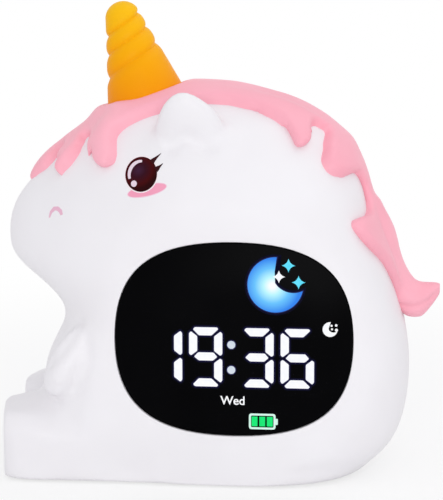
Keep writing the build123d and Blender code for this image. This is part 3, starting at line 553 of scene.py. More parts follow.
def island_centres(node_name):
    """Middle of each separate solid in a CAD node."""
    bm = bmesh.new()
    bm.from_mesh(nodes[node_name].data)
    bmesh.ops.remove_doubles(bm, verts=bm.verts, dist=0.001 * MM)
    waiting = set(bm.verts)
    centres = []
    while waiting:
        island = [waiting.pop()]
        for vert in island:
            for edge in vert.link_edges:
                other = edge.other_vert(vert)
                if other in waiting:
                    waiting.remove(other)
                    island.append(other)
        low = [min(vert.co[axis] for vert in island) for axis in range(3)]
        high = [max(vert.co[axis] for vert in island) for axis in range(3)]
        centres.append((Vector(low) + Vector(high)) / 2)
    bm.free()
    return centres


def columns(name, places, radius, start, stop):
    """Round bars along Y at several places, as one tool."""
    bars = []
    for place in places:
        first = Vector((place.x, start, place.z))
        last = Vector((place.x, stop, place.z))
        bars.append(bar(name, first, last, along_y, radius))
    absorb(bars[0], *bars[1:])
    return bars[0]


screw_places = island_centres("case_screws")
well_tool = columns("screw_wells", screw_places, screw_well_radius, well_floor, flank + 2 * MM)
boolean(skin, well_tool, "DIFFERENCE")
print("skin faces", len(skin.data.polygons), "screw wells", len(screw_places))

# %% Window and panel openings
# Each pair is how far a ring stands out from the flank and how much it is grown, in millimetres.
mouth_rings = ((1.0, 1.3), (0.0, 0.62), (-0.25, 0.30), (-0.7, 0.14), (-12.0, 0.14))


def opening_tool(name, side):
    """Oval plug with a flared mouth, for the window side or the panel side."""
    return loft(name, [oval_ring(flank + out * MM, growth * MM, side) for out, growth in mouth_rings])


boolean(skin, opening_tool("window_opening", -1), "DIFFERENCE")
boolean(skin, opening_tool("panel_opening", 1), "DIFFERENCE")
print("openings cut, faces", len(skin.data.polygons))

# %% [markdown]
# ## Two halves
# The housing is moulded in two halves that meet on the mid-plane, so the skin is cut there with two boxes.
# A hair's breadth stays open between them and shows as the parting line over the head and under the belly.

# %% Split the housing
parting_half = 0.06 * MM
half_names = {-1: ("front_half", "front_shell"), 1: ("rear_half", "rear_shell")}
body_finish = moulded("soft_white_vinyl", (0.87, 0.85, 0.87), (0.90, 0.885, 0.905), 0.5)


def slab(name, near, far):
    """Big block between two depths."""
    reach = 0.2
    ring = [(-reach, -reach), (reach, -reach), (reach, reach), (-reach, reach)]
    return loft(name, [[Vector((x, depth, z + reach / 2)) for x, z in ring] for depth in (near, far)])


for side, (half_name, node_name) in half_names.items():
    half = new_object(half_name, skin.data.copy())
    boolean(half, slab("half_space", side * parting_half, side * 0.1), "INTERSECT")
    dress(half, body_finish)
    smooth_shade(half, 42)
    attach(half, "case")
    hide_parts(node_name)
    print(half_name, "faces", len(half.data.polygons))
bpy.data.objects.remove(skin)

# %% [markdown]
# ## Mane and tail
# The mane is a thick soft moulding that lies on the crest in rounded locks and runs down the back into a
# flicked tail. The CAD solid gives its outline. Round bulbs fill out the ends of three locks on each side,
# and a collar closes the hole under the horn. Remeshing and relaxing round all the edges. The crest is
# lowered towards the back, and the rim slides up the head. The mane sinks below the skin along the gaps
# between its locks, and so does its underside, so that no slit shows along the rim.

# %% Mane drawing
# Lines lie in the side view and all lengths are in millimetres. A furrow row is a line, its width and its
# depth, which is negative for a swelling. A gap row is a line and its half width.
mane_lines = (
    (((-51.5, 107.5), (-48.5, 111.0), (-45.5, 113.8)), 1.7, 1.3),
    (((-44.1, 111.1), (-42.0, 114.2), (-38.6, 117.6)), 1.8, 1.4),
    (((-52.8, 99.2), (-48.8, 106.8), (-45.6, 111.6)), 2.4, -0.7),
    (((-37.4, 105.0), (-38.6, 109.0), (-37.2, 113.2)), 3.4, -1.0),
    (((-40.5, 119.0), (-37.0, 121.0)), 5.0, -1.7),
)
mane_gaps = (
    (((-62.8, 93.7), (-60.0, 95.9), (-57.6, 97.4)), 1.2),
    (((-57.6, 97.4), (-56.0, 99.6)), 0.9),
    (((-56.0, 99.6), (-54.6, 102.0), (-53.0, 104.6)), 0.5),
    (((-50.6, 96.2), (-49.4, 98.1), (-47.4, 99.8), (-45.7, 102.3), (-44.4, 104.6)), 1.2),
    (((-44.4, 104.6), (-44.0, 106.6), (-43.9, 108.8)), 0.7),
    (((-44.4, 106.0), (-43.8, 103.4), (-43.4, 100.6)), 1.1),
    (((-32.6, 99.4), (-31.2, 101.6), (-30.9, 104.5)), 1.2),
    (((-30.9, 104.5), (-31.6, 107.8), (-31.9, 110.0), (-31.2, 110.9), (-29.8, 112.2)), 1.0),
    (((-29.8, 112.2), (-28.4, 113.0), (-25.2, 114.6), (-22.0, 115.8)), 1.0),
    (((-22.0, 115.8), (-14.0, 118.2), (-6.0, 119.8)), 1.0),
    (((-6.0, 119.8), (-2.0, 119.7), (2.9, 119.4), (9.5, 117.9), (16.1, 115.5), (18.5, 114.0)), 0.9),
    (((30.0, 113.0), (32.0, 111.2)), 0.7),
    (((32.0, 111.2), (31.4, 107.0)), 1.2),
    (
        (
            (31.4, 107.0), (30.8, 103.5), (32.0, 101.0), (33.6, 98.6),
            (36.5, 96.8), (39.3, 96.0), (42.2, 96.3),
        ),
        1.5,
    ),
)
tail_fold = (
    (((57.7, 54.3), (61.5, 53.6), (65.1, 54.4), (68.5, 56.0), (71.0, 58.2)), 0.9, 1.3),
)
# A bulb is a place and a radius. The pairs after it give a shift at a place along X.
mane_bulbs = (((26.8, 19.1, 111.0), 3.1), ((38.8, 13.2, 103.8), 5.3), ((-37.6, 24.2, 105.6), 4.0))
crest_sink = (
    (-20, 0), (0, 0.6), (8, 1.1), (17, 1.7), (25, 2.1), (32, 1.7), (38, 0.9),
    (42, -0.6), (45, 0.1), (49, 0.6), (55, 0.7), (59, 0.6), (63, 0.7), (67, 0),
)
rim_slide = (
    (-66, 0.3), (-55, 0.9), (-46, 0.9), (-38, 0.4), (-33, 1.6), (-22, 1.7), (-2, 2.1),
    (8, 1.2), (22, 1.1), (28, 0.7), (40, 0.7), (46, 0.6), (56, 0.4), (60, 0),
)
print("mane lines", len(mane_lines), "gaps", len(mane_gaps))

# %% Mane body
bulb_height = 3.1 * MM
collar_top = horn_seat - horn_axis * 2.4 * MM
collar_bottom = horn_seat - horn_axis * 5 * MM
collar_radius = 13.8 * MM
mane_voxel = 0.6 * MM
lock_start = -55 * MM
lock_length = 14 * MM
lock_pull = Vector((3.4, 0, 1.8)) * MM


def add_bulb(piece, place, radius):
    """Adds a flattened ball that lies on the skin."""
    near, facing, _, _ = skin_tree.find_nearest(place)
    bm = bmesh.new()
    bmesh.ops.create_icosphere(bm, subdivisions=4, radius=1)
    turn = facing.to_track_quat("Z", "Y").to_matrix().to_4x4()
    size = Matrix.Diagonal((radius, radius, bulb_height, 1))
    bm.transform(Matrix.Translation(near) @ turn @ size)
    mesh = bpy.data.meshes.new("bulb")
    bm.to_mesh(mesh)
    bm.free()
    absorb(piece, new_object("bulb", mesh))


mane = welded_copy("mane_and_tail", "mane")
for (x, y, z), radius in mane_bulbs:
    for side in (-1, 1):
        add_bulb(mane, Vector((x, side * y, z)) * MM, radius * MM)
absorb(mane, bar("horn_collar", collar_bottom, collar_top, horn_axis, collar_radius))
remesh(mane, mane_voxel)
points = read_points(mane.data)
share = np.clip((lock_start - points[:, 0]) / lock_length, 0, 1) ** 2
points += share[:, None] * np.array(lock_pull)
write_points(mane.data, points)
print("mane points", len(points))

# %% Locks and gaps
seat_sink = 1.0 * MM
underside_facing = -0.2
underside_reach = 3.5 * MM
crest_depths = (7 * MM, 15 * MM)
rim_depths = (4 * MM, 12 * MM)
gap_sink = 1.8 * MM
gap_reach = 7 * MM
gap_edge = 1.0
gap_depths = (3 * MM, 6 * MM)
ridge_depths = (4 * MM, 8 * MM)


def skin_below(points):
    """For each point, the direction out of the nearest skin, and the height above that skin."""
    facings = np.empty_like(points)
    heights = np.empty(len(points))
    for row, point in enumerate(points):
        here = Vector(point)
        near, facing, _, _ = skin_tree.find_nearest(here)
        facings[row] = facing
        heights[row] = (here - near).dot(facing)
    return facings, heights


def along_x(points, pairs):
    """The shift at each point, read between pairs of a place along X and a shift."""
    return np.interp(points[:, 0] / MM, *zip(*pairs)) * MM


def open_gaps(piece):
    """Sinks the mane under the skin along the gaps between its locks."""
    points = read_points(piece.data)
    facings, heights = skin_below(points)
    feet = points - facings * heights[:, None]
    aside = smooth_rise(np.abs(feet[:, 1]), *gap_depths) * (heights < gap_reach)
    for line, width in mane_gaps:
        gap = line_distance(feet[:, (0, 2)], line)
        highest = -gap_sink + gap_reach * smooth_rise(gap, width * MM, (width + gap_edge) * MM)
        drop = np.maximum(heights - highest, 0) * aside
        points -= facings * drop[:, None]
        heights -= drop
    write_points(piece.data, points)


points = read_points(mane.data)
normals = read_points(mane.data, "normal")
facings, heights = skin_below(points)
turned = (normals * facings).sum(axis=1)
outer = np.clip(turned, 0, 1)
press_lines(points, facings, mane_lines, outer)
crest = 1 - smooth_rise(np.abs(points[:, 1]), *crest_depths)
sink = along_x(points, crest_sink) * crest * outer
points -= facings * sink[:, None]
underside = (turned < underside_facing) & (heights < underside_reach)
points -= facings * np.where(underside, heights + seat_sink, 0)[:, None]
upwards = np.array((0.0, 0.0, 1.0)) - facings * facings[:, 2:3]
upwards /= np.linalg.norm(upwards, axis=1)[:, None] + 1e-9
slide = along_x(points, rim_slide) * smooth_rise(np.abs(points[:, 1]), *rim_depths)
points += upwards * slide[:, None]
write_points(mane.data, points)
for rounds in (16, 8):
    open_gaps(mane)
    relax(mane, rounds, pull=0.5)
points = read_points(mane.data)
ridge = 1 - smooth_rise(np.abs(points[:, 1]), *ridge_depths)
relax(mane, rounds=40, pull=0.5, weight=ridge)
print("locks parted")

# %% Tail
# The tail's tip flicks up to a point, with a fold along its side.
flick_span = (63 * MM, 71.6 * MM)
fold_levels = (51 * MM, 58 * MM)
droop_span = (57 * MM, 62 * MM)
tip_rise = 2.1
tail_droop = 1.3
tip_reach = 4.0
tip_tuck = 2.8
tail_limit = 71.5 * MM
fold_facing = (0.3, 0.7)

points = read_points(mane.data)
normals = read_points(mane.data, "normal")
flick = smooth_rise(points[:, 0], *flick_span)
above_fold = smooth_rise(points[:, 2], *fold_levels)
points[:, 2] += tip_rise * above_fold * flick * MM
points[:, 2] -= tail_droop * (1 - above_fold) * smooth_rise(points[:, 0], *droop_span) * MM
points[:, 0] += (tip_reach * above_fold - tip_tuck) * flick * MM
points[:, 0] = np.minimum(points[:, 0], tail_limit)
press_lines(points, normals, tail_fold, smooth_rise(np.abs(normals[:, 1]), *fold_facing))
write_points(mane.data, points)
relax(mane, rounds=3, pull=0.5)
mane_finish = moulded("mane_pink_vinyl", (0.97, 0.41, 0.50), (1.0, 0.47, 0.56), 0.5)
dress(mane, mane_finish)
smooth_shade(mane, 60)
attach(mane, "case")
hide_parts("mane")
print("mane faces", len(mane.data.polygons))

# %% [markdown]
# ## Horn
# The horn is a blunt cone with soft bands that wind up it in two starts. A formula gives the radius at each
# height and turn: the cone, a dome at the tip, and a furrow wherever a height lies near the spiral line.
# The furrow is narrow and the band between is round, which a plain wave would not give.

# %% Horn
horn_length = 30.4 * MM
horn_root = -9 * MM
horn_radius = 12.5 * MM
horn_tip_radius = 5.8 * MM
horn_shoulder = 25.6 * MM
furrow_lead = 13.2 * MM
furrow_starts = 2
furrow_first = 13.85 * MM
furrow_squeeze = 0.0152 / MM
furrow_depth = 1.15 * MM
furrow_start = 3.5 * MM
furrow_stop = 21.5 * MM
furrow_shift = 5.0 * MM
furrow_ease = 2.5 * MM
furrow_sharpness = 2.6
dome_power = 2.2
dome_pinch = 0.12
least_radius = 0.02 * MM
horn_rows = 190
horn_turns = 120
horn_right = Vector((math.cos(horn_lean), 0, math.sin(horn_lean)))
horn_front = Vector((0, -1, 0))


def horn_reach(height, turn):
    """Radius of the horn at a height along its axis and a turn share from 0 to 1."""
    taper = (horn_radius - horn_tip_radius) / horn_shoulder
    if height < horn_shoulder:
        cone = horn_radius - taper * height
    else:
        dome = (height - horn_shoulder) / (horn_length - horn_shoulder)
        cone = horn_tip_radius * math.sqrt(max(1 - dome**dome_power, 0)) * (1 - dome_pinch * dome)
    spacing = furrow_lead / furrow_starts
    climb = height - furrow_first
    cycle = ((climb + furrow_squeeze * climb**2 + furrow_lead * turn) / spacing) % 1
    away = min(cycle, 1 - cycle) * 2
    furrow = (1 - away) ** furrow_sharpness
    shift = furrow_shift * (0.5 + 0.5 * math.cos(2 * math.pi * turn))
    start = furrow_start + shift
    stop = furrow_stop + shift
    fade = smooth_rise(height, start, start + furrow_ease)
    fade *= 1 - smooth_rise(height, stop, stop + furrow_ease)
    return max(cone - furrow_depth * furrow * fade, least_radius)


def horn_ring(height):
    """Closed ring of points round the horn's axis."""
    ring = []
    for step in range(horn_turns):
        turn = step / horn_turns
        angle = 2 * math.pi * turn
        outward = math.cos(angle) * horn_right + math.sin(angle) * horn_front
        ring.append(horn_seat + horn_axis * height + outward * horn_reach(height, turn))
    return ring


row_shares = [math.sin(math.pi / 2 * row / horn_rows) for row in range(horn_rows + 1)]
horn_heights = [horn_root + share * (horn_length - horn_root) for share in row_shares]
horn = loft("spiral_horn", [horn_ring(height) for height in horn_heights])

# Painted shade and light: the horn is darker orange at the base and lighter yellow towards the tip, as
# light from above falls on it.
shaded_tone_level = 122 * MM
lit_tone_level = 152 * MM
horn_lit_and_shaded_tones = [(0.0, (0.92, 0.315, 0.0)), (0.5, (0.96, 0.425, 0.0)), (1.0, (0.98, 0.54, 0.006))]
horn_finish, tree, shader = new_finish("horn_yellow_vinyl", 0.45)
shader.inputs["Specular IOR Level"].default_value = 0.1
horn_place = tree.nodes.new("ShaderNodeTexCoord")
horn_split = tree.nodes.new("ShaderNodeSeparateXYZ")
horn_shade_span = tree.nodes.new("ShaderNodeMapRange")
horn_shade_span.inputs["From Min"].default_value = shaded_tone_level
horn_shade_span.inputs["From Max"].default_value = lit_tone_level
tree.links.new(horn_place.outputs["Object"], horn_split.inputs["Vector"])
tree.links.new(horn_split.outputs["Z"], horn_shade_span.inputs["Value"])
horn_shade_ramp = ramp_node(tree, horn_shade_span.outputs["Result"], horn_lit_and_shaded_tones)
tree.links.new(horn_shade_ramp.outputs["Color"], shader.inputs["Base Color"])
add_grain(tree, shader, 2600.0, 0.25)
dress(horn, horn_finish)
smooth_shade(horn, 60)
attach(horn, "case")
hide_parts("horn")
print("horn faces", len(horn.data.polygons))

# %% [markdown]
# ## Display lens
# The window is a smoked acrylic oval, flush with the flank. It is built as a loft of oval rings with a
# small rounded edge. Its reflection is kept low, because a white studio would otherwise veil the black.

# %% Lens
lens_front = flank - 0.2 * MM
lens_back = flank - 2.0 * MM
lens_rings = [
    oval_ring(lens_back, 0),
    oval_ring(lens_front - 0.35 * MM, 0),
    oval_ring(lens_front - 0.10 * MM, -0.10 * MM),
    oval_ring(lens_front, -0.35 * MM),
    oval_ring(lens_front, -20 * MM),
]
lens = loft("smoked_lens", lens_rings)
lens_tones = ((0.0008, 0.0008, 0.0011), (0.0016, 0.0016, 0.0021))
lens_finish = moulded("smoked_acrylic", *lens_tones, 0.25, grain=900.0, grain_strength=0.02)
lens_finish.node_tree.nodes["Principled BSDF"].inputs["Specular IOR Level"].default_value = 0.02
dress(lens, lens_finish)
smooth_shade(lens, 35)
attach(lens, "case")
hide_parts("display_window")
print("lens front at y =", round(-lens_front / MM, 2), "mm")

# %% [markdown]
# ## Lit figures
# Light from the segments shines through the smoked lens, so each figure is a thin glowing plate that lies
# in the lens's front face. Outlines are drawn in millimetres from the middle of the window, as a display
# designer would draw them. A dim rim of navy light round the larger ones stands for the bleed in the lens.

# %% Plate helpers
plate_lift = 0.05 * MM
halo_lift = 0.03 * MM
wide_halo_lift = 0.015 * MM
plate_back = -0.2 * MM
mitre_limit = 0.55


def display_point(x, z, lift):
    """Place of a drawing point on the front of the lens."""
    return Vector((window_centre.x + x * MM, -lens_front - lift, window_centre.z + z * MM))


def finish_figure(piece, finish):
    """Finish and body of a lit figure."""
    dress(piece, finish)
    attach(piece, "case")


def plates(name, outlines, lift, finish):
    """Thin closed plates on the lens, one for each outline, as one piece."""
    bm = bmesh.new()
    for outline in outlines:
        front = [bm.verts.new(display_point(x, z, lift)) for x, z in outline]
        back = [bm.verts.new(display_point(x, z, plate_back)) for x, z in outline]
        bm.faces.new(front)
        bm.faces.new(back[::-1])
        for step in range(len(outline)):
            after = (step + 1) % len(outline)
            bm.faces.new((front[after], front[step], back[step], back[after]))
    bmesh.ops.triangulate(bm, faces=bm.faces)
    finish_figure(finish_bmesh(bm, name), finish)


def grown(outline, amount):
    """The outline moved outwards by an amount in millimetres."""
    area = sum(a[0] * b[1] - b[0] * a[1] for a, b in zip(outline, outline[1:] + outline[:1]))
    sign = 1 if area > 0 else -1
    count = len(outline)
    moved = []
    for step, point in enumerate(outline):
        here = Vector(point)
        before = (here - Vector(outline[step - 1])).normalized()
        after = (Vector(outline[(step + 1) % count]) - here).normalized()
        first = Vector((before.y, -before.x)) * sign
        second = Vector((after.y, -after.x)) * sign
        middle = (first + second).normalized()
        moved.append(tuple(here + middle * amount / max(middle.dot(first), mitre_limit)))
    return moved


def halo(name, outlines, growth, lift, finish):
    """Dim plates just behind some lit ones, grown by an amount in millimetres."""
    plates(name, [grown(outline, growth) for outline in outlines], lift, finish)


def shine(tree, shader, ramp):
    """Makes a shader glow in the colours of a ramp, with no sheen of its own."""
    shader.inputs["Base Color"].default_value = (0.002, 0.002, 0.002, 1)
    shader.inputs["Specular IOR Level"].default_value = 0.0
    shader.inputs["Emission Strength"].default_value = 1.0
    tree.links.new(ramp.outputs["Color"], shader.inputs["Emission Color"])


def glowing(name, low, high):
    """Light through a diffuser: two close tones in a fine mottle."""
    finish, tree, shader = new_finish(name, 0.6)
    mottle = noise_node(tree, 700.0)
    shine(tree, shader, ramp_node(tree, mottle.outputs["Fac"], [(0.3, low), (0.7, high)]))
    return finish


white_glow = glowing("glow_white", (0.93, 0.95, 1.0), (1.0, 1.0, 1.0))
grey_glow = glowing("glow_grey_blue", (0.60, 0.68, 0.78), (0.70, 0.76, 0.84))
near_halo = glowing("glow_navy", (0.016, 0.015, 0.075), (0.024, 0.022, 0.10))
far_halo = glowing("glow_deep_navy", (0.003, 0.003, 0.014), (0.005, 0.005, 0.020))

# %% Digits
digit_width = 10.6
digit_height = 19.1
digit_level = -5.6
digit_columns = ((-21.55, "bc"), (-8.75, "abcdfg"), (7.55, "abcdg"), (20.35, "acdefg"))
top_bar = ((1.25, 0.67), (1.85, 0.0), (8.95, 0.0), (9.3, 0.57), (7.15, 2.6), (3.1, 2.6))
left_stick = ((0.0, 2.0), (0.57, 1.35), (2.6, 2.9), (2.6, 7.6), (0.67, 9.1), (0.0, 8.6))
middle_bar = ((1.6, 9.5), (2.9, 8.1), (7.8, 8.1), (9.0, 9.5), (7.6, 10.7), (3.1, 10.7))


def flip_across(outline):
    """Mirror image, left to right within a digit."""
    return [(digit_width - x, z) for x, z in outline]


def flip_over(outline):
    """Mirror image, top to bottom within a digit."""
    return [(x, digit_height - z) for x, z in outline]


segment_outlines = {
    "a": list(top_bar),
    "b": flip_across(left_stick),
    "c": flip_over(flip_across(left_stick)),
    "d": flip_over(top_bar),
    "e": flip_over(left_stick),
    "f": list(left_stick),
    "g": list(middle_bar),
}
digit_outlines = []
for column, lit in digit_columns:
    left = column - digit_width / 2
    top = digit_level + digit_height / 2
    for letter in lit:
        digit_outlines.append([(left + x, top - z) for x, z in segment_outlines[letter]])


def rounded(outline, radius, steps=4):
    """The outline with its corners cut round."""
    count = len(outline)
    soft = []
    for step in range(count):
        here = Vector(outline[step])
        before = Vector(outline[step - 1]) - here
        after = Vector(outline[(step + 1) % count]) - here
        back = here + before.normalized() * min(radius, before.length * 0.45)
        ahead = here + after.normalized() * min(radius, after.length * 0.45)
        for part in range(steps + 1):
            share = part / steps
            bend = back.lerp(here, share).lerp(here.lerp(ahead, share), share)
            soft.append(tuple(bend))
    return soft


digit_outlines = [rounded(outline, 0.35) for outline in digit_outlines]
plates("lit_digits", digit_outlines, plate_lift, white_glow)
halo("digit_halo", digit_outlines, 0.24, halo_lift, near_halo)
halo("digit_far_halo", digit_outlines, 0.70, wide_halo_lift, far_halo)
print("lit segments", len(digit_outlines))

# %% Colon, weekday and gauge
def disc(x, z, radius, count=32):
    """Round outline."""
    turns = [2 * math.pi * step / count for step in range(count)]
    return [(x + radius * math.cos(t), z + radius * math.sin(t)) for t in turns]


def box(x, z, width, height):
    """Upright rectangle about a middle point."""
    left, right = x - width / 2, x + width / 2
    low, high = z - height / 2, z + height / 2
    return [(left, low), (right, low), (right, high), (left, high)]


colon_dots = [disc(-0.6, digit_level + rise, 1.28) for rise in (-4.05, 4.05)]
plates("lit_colon", colon_dots, plate_lift, grey_glow)
halo("colon_halo", colon_dots, 0.3, halo_lift, near_halo)

weekday = bpy.data.curves.new("weekday_letters", "FONT")
weekday.body = "Wed"
weekday.align_x = "CENTER"
weekday.size = 3.9 * MM
weekday.offset = 0.05 * MM
weekday.extrude = 0.1 * MM
weekday.space_character = 0.98
weekday_curve = bpy.data.objects.new("weekday_curve", weekday)
scene.collection.objects.link(weekday_curve)
weekday_curve.location = display_point(-0.1, -20.85, -0.05 * MM)
weekday_curve.rotation_euler = (math.pi / 2, 0, 0)
bpy.context.view_layer.update()
graph = bpy.context.evaluated_depsgraph_get()
weekday_mesh = bpy.data.meshes.new_from_object(weekday_curve.evaluated_get(graph))
weekday_mesh.transform(weekday_curve.matrix_world)
bpy.data.objects.remove(weekday_curve)
weekday_letters = new_object("lit_weekday", weekday_mesh)
finish_figure(weekday_letters, white_glow)

gauge_x = 9.3
gauge_z = -26.15
gauge_width = 8.5
gauge_height = 5.1
gauge_line = 0.65
mint_glow = glowing("glow_mint", (0.62, 0.92, 0.80), (0.72, 0.97, 0.88))
green_glow = glowing("glow_green", (0.010, 0.78, 0.17), (0.016, 0.87, 0.21))


def frame_plates(name, outer, inner, lift, finish):
    """Flat closed frame between an outer and an inner outline of equal count."""
    rings = [
        [display_point(x, z, lift) for x, z in outer],
        [display_point(x, z, lift) for x, z in inner],
        [display_point(x, z, plate_back) for x, z in inner],
        [display_point(x, z, plate_back) for x, z in outer],
    ]
    bm = bmesh.new()
    rows = [[bm.verts.new(point) for point in ring] for ring in rings]
    for row, following in zip(rows, rows[1:] + rows[:1]):
        for step in range(len(row)):
            after = (step + 1) % len(row)
            bm.faces.new((row[step], row[after], following[after], following[step]))
    finish_figure(finish_bmesh(bm, name), finish)


gauge_outer = rounded(box(gauge_x, gauge_z, gauge_width, gauge_height), 0.9)
gauge_hole = box(gauge_x, gauge_z, gauge_width - 2 * gauge_line, gauge_height - 2 * gauge_line)
gauge_inner = rounded(gauge_hole, 0.4)
frame_plates("gauge_outline", gauge_outer, gauge_inner, plate_lift, mint_glow)
nub_x = gauge_x + gauge_width / 2 + 0.35
plates("gauge_nub", [rounded(box(nub_x, gauge_z, 0.7, 2.0), 0.25)], plate_lift, mint_glow)
gauge_bars = [box(gauge_x + shift, gauge_z, 1.85, 3.1) for shift in (-2.45, 0.0, 2.4)]
plates("gauge_bars", gauge_bars, plate_lift, green_glow)
print("weekday and gauge drawn")

# %% Moon and stars
moon_x = 13.3
moon_z = 17.9
moon_radius = 8.8
bite_shift = (5.6, 4.35)
bite_radius = 6.85


def crescent(x, z, radius, shift, bite, count=48):
    """Outline of a disc with a round bite out of it."""
    reach = math.hypot(*shift)
    facing = math.atan2(shift[1], shift[0])
    spread = math.acos((radius**2 + reach**2 - bite**2) / (2 * radius * reach))
    inner = math.acos((bite**2 + reach**2 - radius**2) / (2 * bite * reach))
    outline = []
    for step in range(count + 1):
        angle = facing + spread + (2 * math.pi - 2 * spread) * step / count
        outline.append((x + radius * math.cos(angle), z + radius * math.sin(angle)))
    for step in range(1, count // 2):
        angle = facing + math.pi + inner - 2 * inner * step / (count // 2)
        outline.append((x + shift[0] + bite * math.cos(angle), z + shift[1] + bite * math.sin(angle)))
    return outline


def sparkle(x, z, half, waist=0.26, count=6):
    """Four-pointed star with hollow sides."""
    outline = []
    for point in range(4):
        here = math.pi / 2 * point
        tip = Vector((math.cos(here), math.sin(here))) * half
        following = Vector((-math.sin(here), math.cos(here))) * half
        hollow = (tip + following) * waist / 1.4
        for step in range(count):
            share = step / count
            bend = tip.lerp(hollow, share).lerp(hollow.lerp(following, share), share)
            outline.append((x + bend.x, z + bend.y))
    return outline


def distance_ramp(tree, centre, radius, stops):
    """A colour ramp that runs with the distance from a point."""
    place = tree.nodes.new("ShaderNodeTexCoord")
    gap = tree.nodes.new("ShaderNodeVectorMath")
    gap.operation = "DISTANCE"
    gap.inputs[1].default_value = centre
    span = tree.nodes.new("ShaderNodeMapRange")
    span.inputs["From Max"].default_value = radius
    tree.links.new(place.outputs["Object"], gap.inputs[0])
    tree.links.new(gap.outputs["Value"], span.inputs["Value"])
    return ramp_node(tree, span.outputs["Result"], stops)


# The moon is pale in the hollow of the crescent and blue at its outer rim.
moon_tones = [
    (0.08, (1.0, 1.0, 1.0)),
    (0.30, (0.50, 0.93, 1.0)),
    (0.58, (0.15, 0.56, 1.0)),
    (0.90, (0.04, 0.24, 0.88)),
]
pale_spot = display_point(moon_x - 0.9, moon_z - 0.3, 0)
moon_glow, tree, shader = new_finish("glow_moon", 0.6)
shine(tree, shader, distance_ramp(tree, pale_spot, 9.6 * MM, moon_tones))
cyan_glow = glowing("glow_cyan", (0.10, 0.72, 0.98), (0.16, 0.80, 1.0))
moon_outline = crescent(moon_x, moon_z, moon_radius, bite_shift, bite_radius)
plates("lit_moon", [moon_outline], plate_lift, moon_glow)
halo("moon_halo", [moon_outline], 0.3, halo_lift, near_halo)
halo("moon_far_halo", [moon_outline], 0.9, wide_halo_lift, far_halo)
star_shifts = ((4.1, 6.2), (7.3, 0.9))
cyan_stars = [sparkle(moon_x + across, moon_z + rise, 2.15) for across, rise in star_shifts]
plates("cyan_stars", cyan_stars, plate_lift, cyan_glow)
plates("white_star", [sparkle(moon_x + 1.1, moon_z + 2.6, 2.0)], plate_lift * 1.4, white_glow)
icon_moon = crescent(30.6, 4.0, 2.35, (1.05, 0.8), 1.75, 32)
icon_dots = [disc(32.5, 5.35, 0.40), disc(32.6, 3.85, 0.48), disc(31.2, 4.1, 0.32), disc(31.05, 5.2, 0.36)]
plates("night_mode_sign", [icon_moon] + icon_dots, plate_lift, white_glow)
print("moon and stars drawn")

# %% [markdown]
# ## Printed face
# The eyes, lashes, cheeks and nostrils are pad-printed on the housing, once on each side. Each print is a
# very thin closed patch that hugs the skin: its drawing is cast straight onto the surface along Y.
# Overlapping inks differ in height by a few hundredths of a millimetre, as real inks do.

# %% Print helpers
print_sink = 0.2 * MM
cast_distance = 80 * MM
patch_shares = (0.04, 0.25, 0.45, 0.62, 0.78, 0.90, 1.0)
back_shares = (1.0, 0.5, 0.04)


def on_skin(x, z, side, lift):
    """Point above the skin where a drawing point lands, seen from one side."""
    start = Vector((x * MM, side * cast_distance, z * MM))
    spot, facing, _, _ = skin_tree.ray_cast(start, Vector((0, -side, 0)))
    return spot + facing * lift


def finish_print(piece, finish):
    """Finish, shading and body of a print."""
    dress(piece, finish)
    smooth_shade(piece, 60)
    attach(piece, "case")


def print_patch(name, outline, side, lift, finish):
    """Filled print with a convex outline."""
    middle = Vector((sum(x for x, z in outline), sum(z for x, z in outline))) / len(outline)
    levels = [(share, lift) for share in patch_shares]
    levels += [(share, -print_sink) for share in back_shares]
    rings = []
    for share, level in levels:
        drawn = [middle.lerp(Vector(point), share) for point in outline]
        rings.append([on_skin(point.x, point.y, side, level) for point in drawn])
    finish_print(loft(name, rings), finish)


def print_stroke(name, line, widths, side, lift, finish):
    """Pen stroke along a line of points, with a width at each point."""
    rings = []
    for step, point in enumerate(line):
        before = Vector(line[max(step - 1, 0)])
        after = Vector(line[min(step + 1, len(line) - 1)])
        heading = (after - before).normalized()
        across = Vector((-heading.y, heading.x)) * widths[step] / 2
        left = Vector(point) + across
        right = Vector(point) - across
        top = [on_skin(*spot, side, lift) for spot in (left, point, right)]
        bottom = [on_skin(*spot, side, -print_sink) for spot in (right, left)]
        rings.append(top + bottom)
    finish_print(loft(name, rings), finish)

# %% Eyes
eye_x = -23.6
eye_z = 99.8
eye_radius = 5.25


def eye_point(across, rise):
    """Drawing point given in eye radii from the eye's middle."""
    return eye_x + across * eye_radius, eye_z + rise * eye_radius


def ink_with_painted_sheen(name, centre, radius, stops, roughness):
    """Ink with a painted sheen: its colour changes with the distance from a point."""
    finish, tree, shader = new_finish(name, roughness)
    ramp = distance_ramp(tree, centre, radius, stops)
    tree.links.new(ramp.outputs["Color"], shader.inputs["Base Color"])
    shader.inputs["Specular IOR Level"].default_value = 0.05
    add_grain(tree, shader, 1500.0, 0.05)
    return finish


lash_ink = moulded("lash_maroon_ink", (0.026, 0.002, 0.004), (0.040, 0.003, 0.006), 0.5)
lash_ink.node_tree.nodes["Principled BSDF"].inputs["Specular IOR Level"].default_value = 0.1
glint_ink = moulded("glint_white_ink", (0.78, 0.62, 0.72), (0.86, 0.76, 0.83), 0.4)
rim_ink = moulded("eye_rim_ink", (0.93, 0.80, 0.83), (0.95, 0.86, 0.88), 0.5)
eye_outline = [eye_point(*point) for point in disc(0, 0, 1.0, 56)]
rim_outline = [eye_point(*point) for point in disc(0, 0, 1.07, 56)]
arc_steps = 14
arc_angles = [math.radians(202 - 112 * step / arc_steps) for step in range(arc_steps + 1)]
arc_line = [eye_point(0.75 * math.cos(t), 0.75 * math.sin(t)) for t in arc_angles]
arc_swells = [min(step / arc_steps * 0.62 + 0.22, 1) for step in range(arc_steps + 1)]
arc_widths = [eye_radius * (0.04 + 0.17 * math.sin(math.pi * swell)) for swell in arc_swells]
glint_outline = [eye_point(*point) for point in disc(-0.41, -0.555, 0.185, 24)]
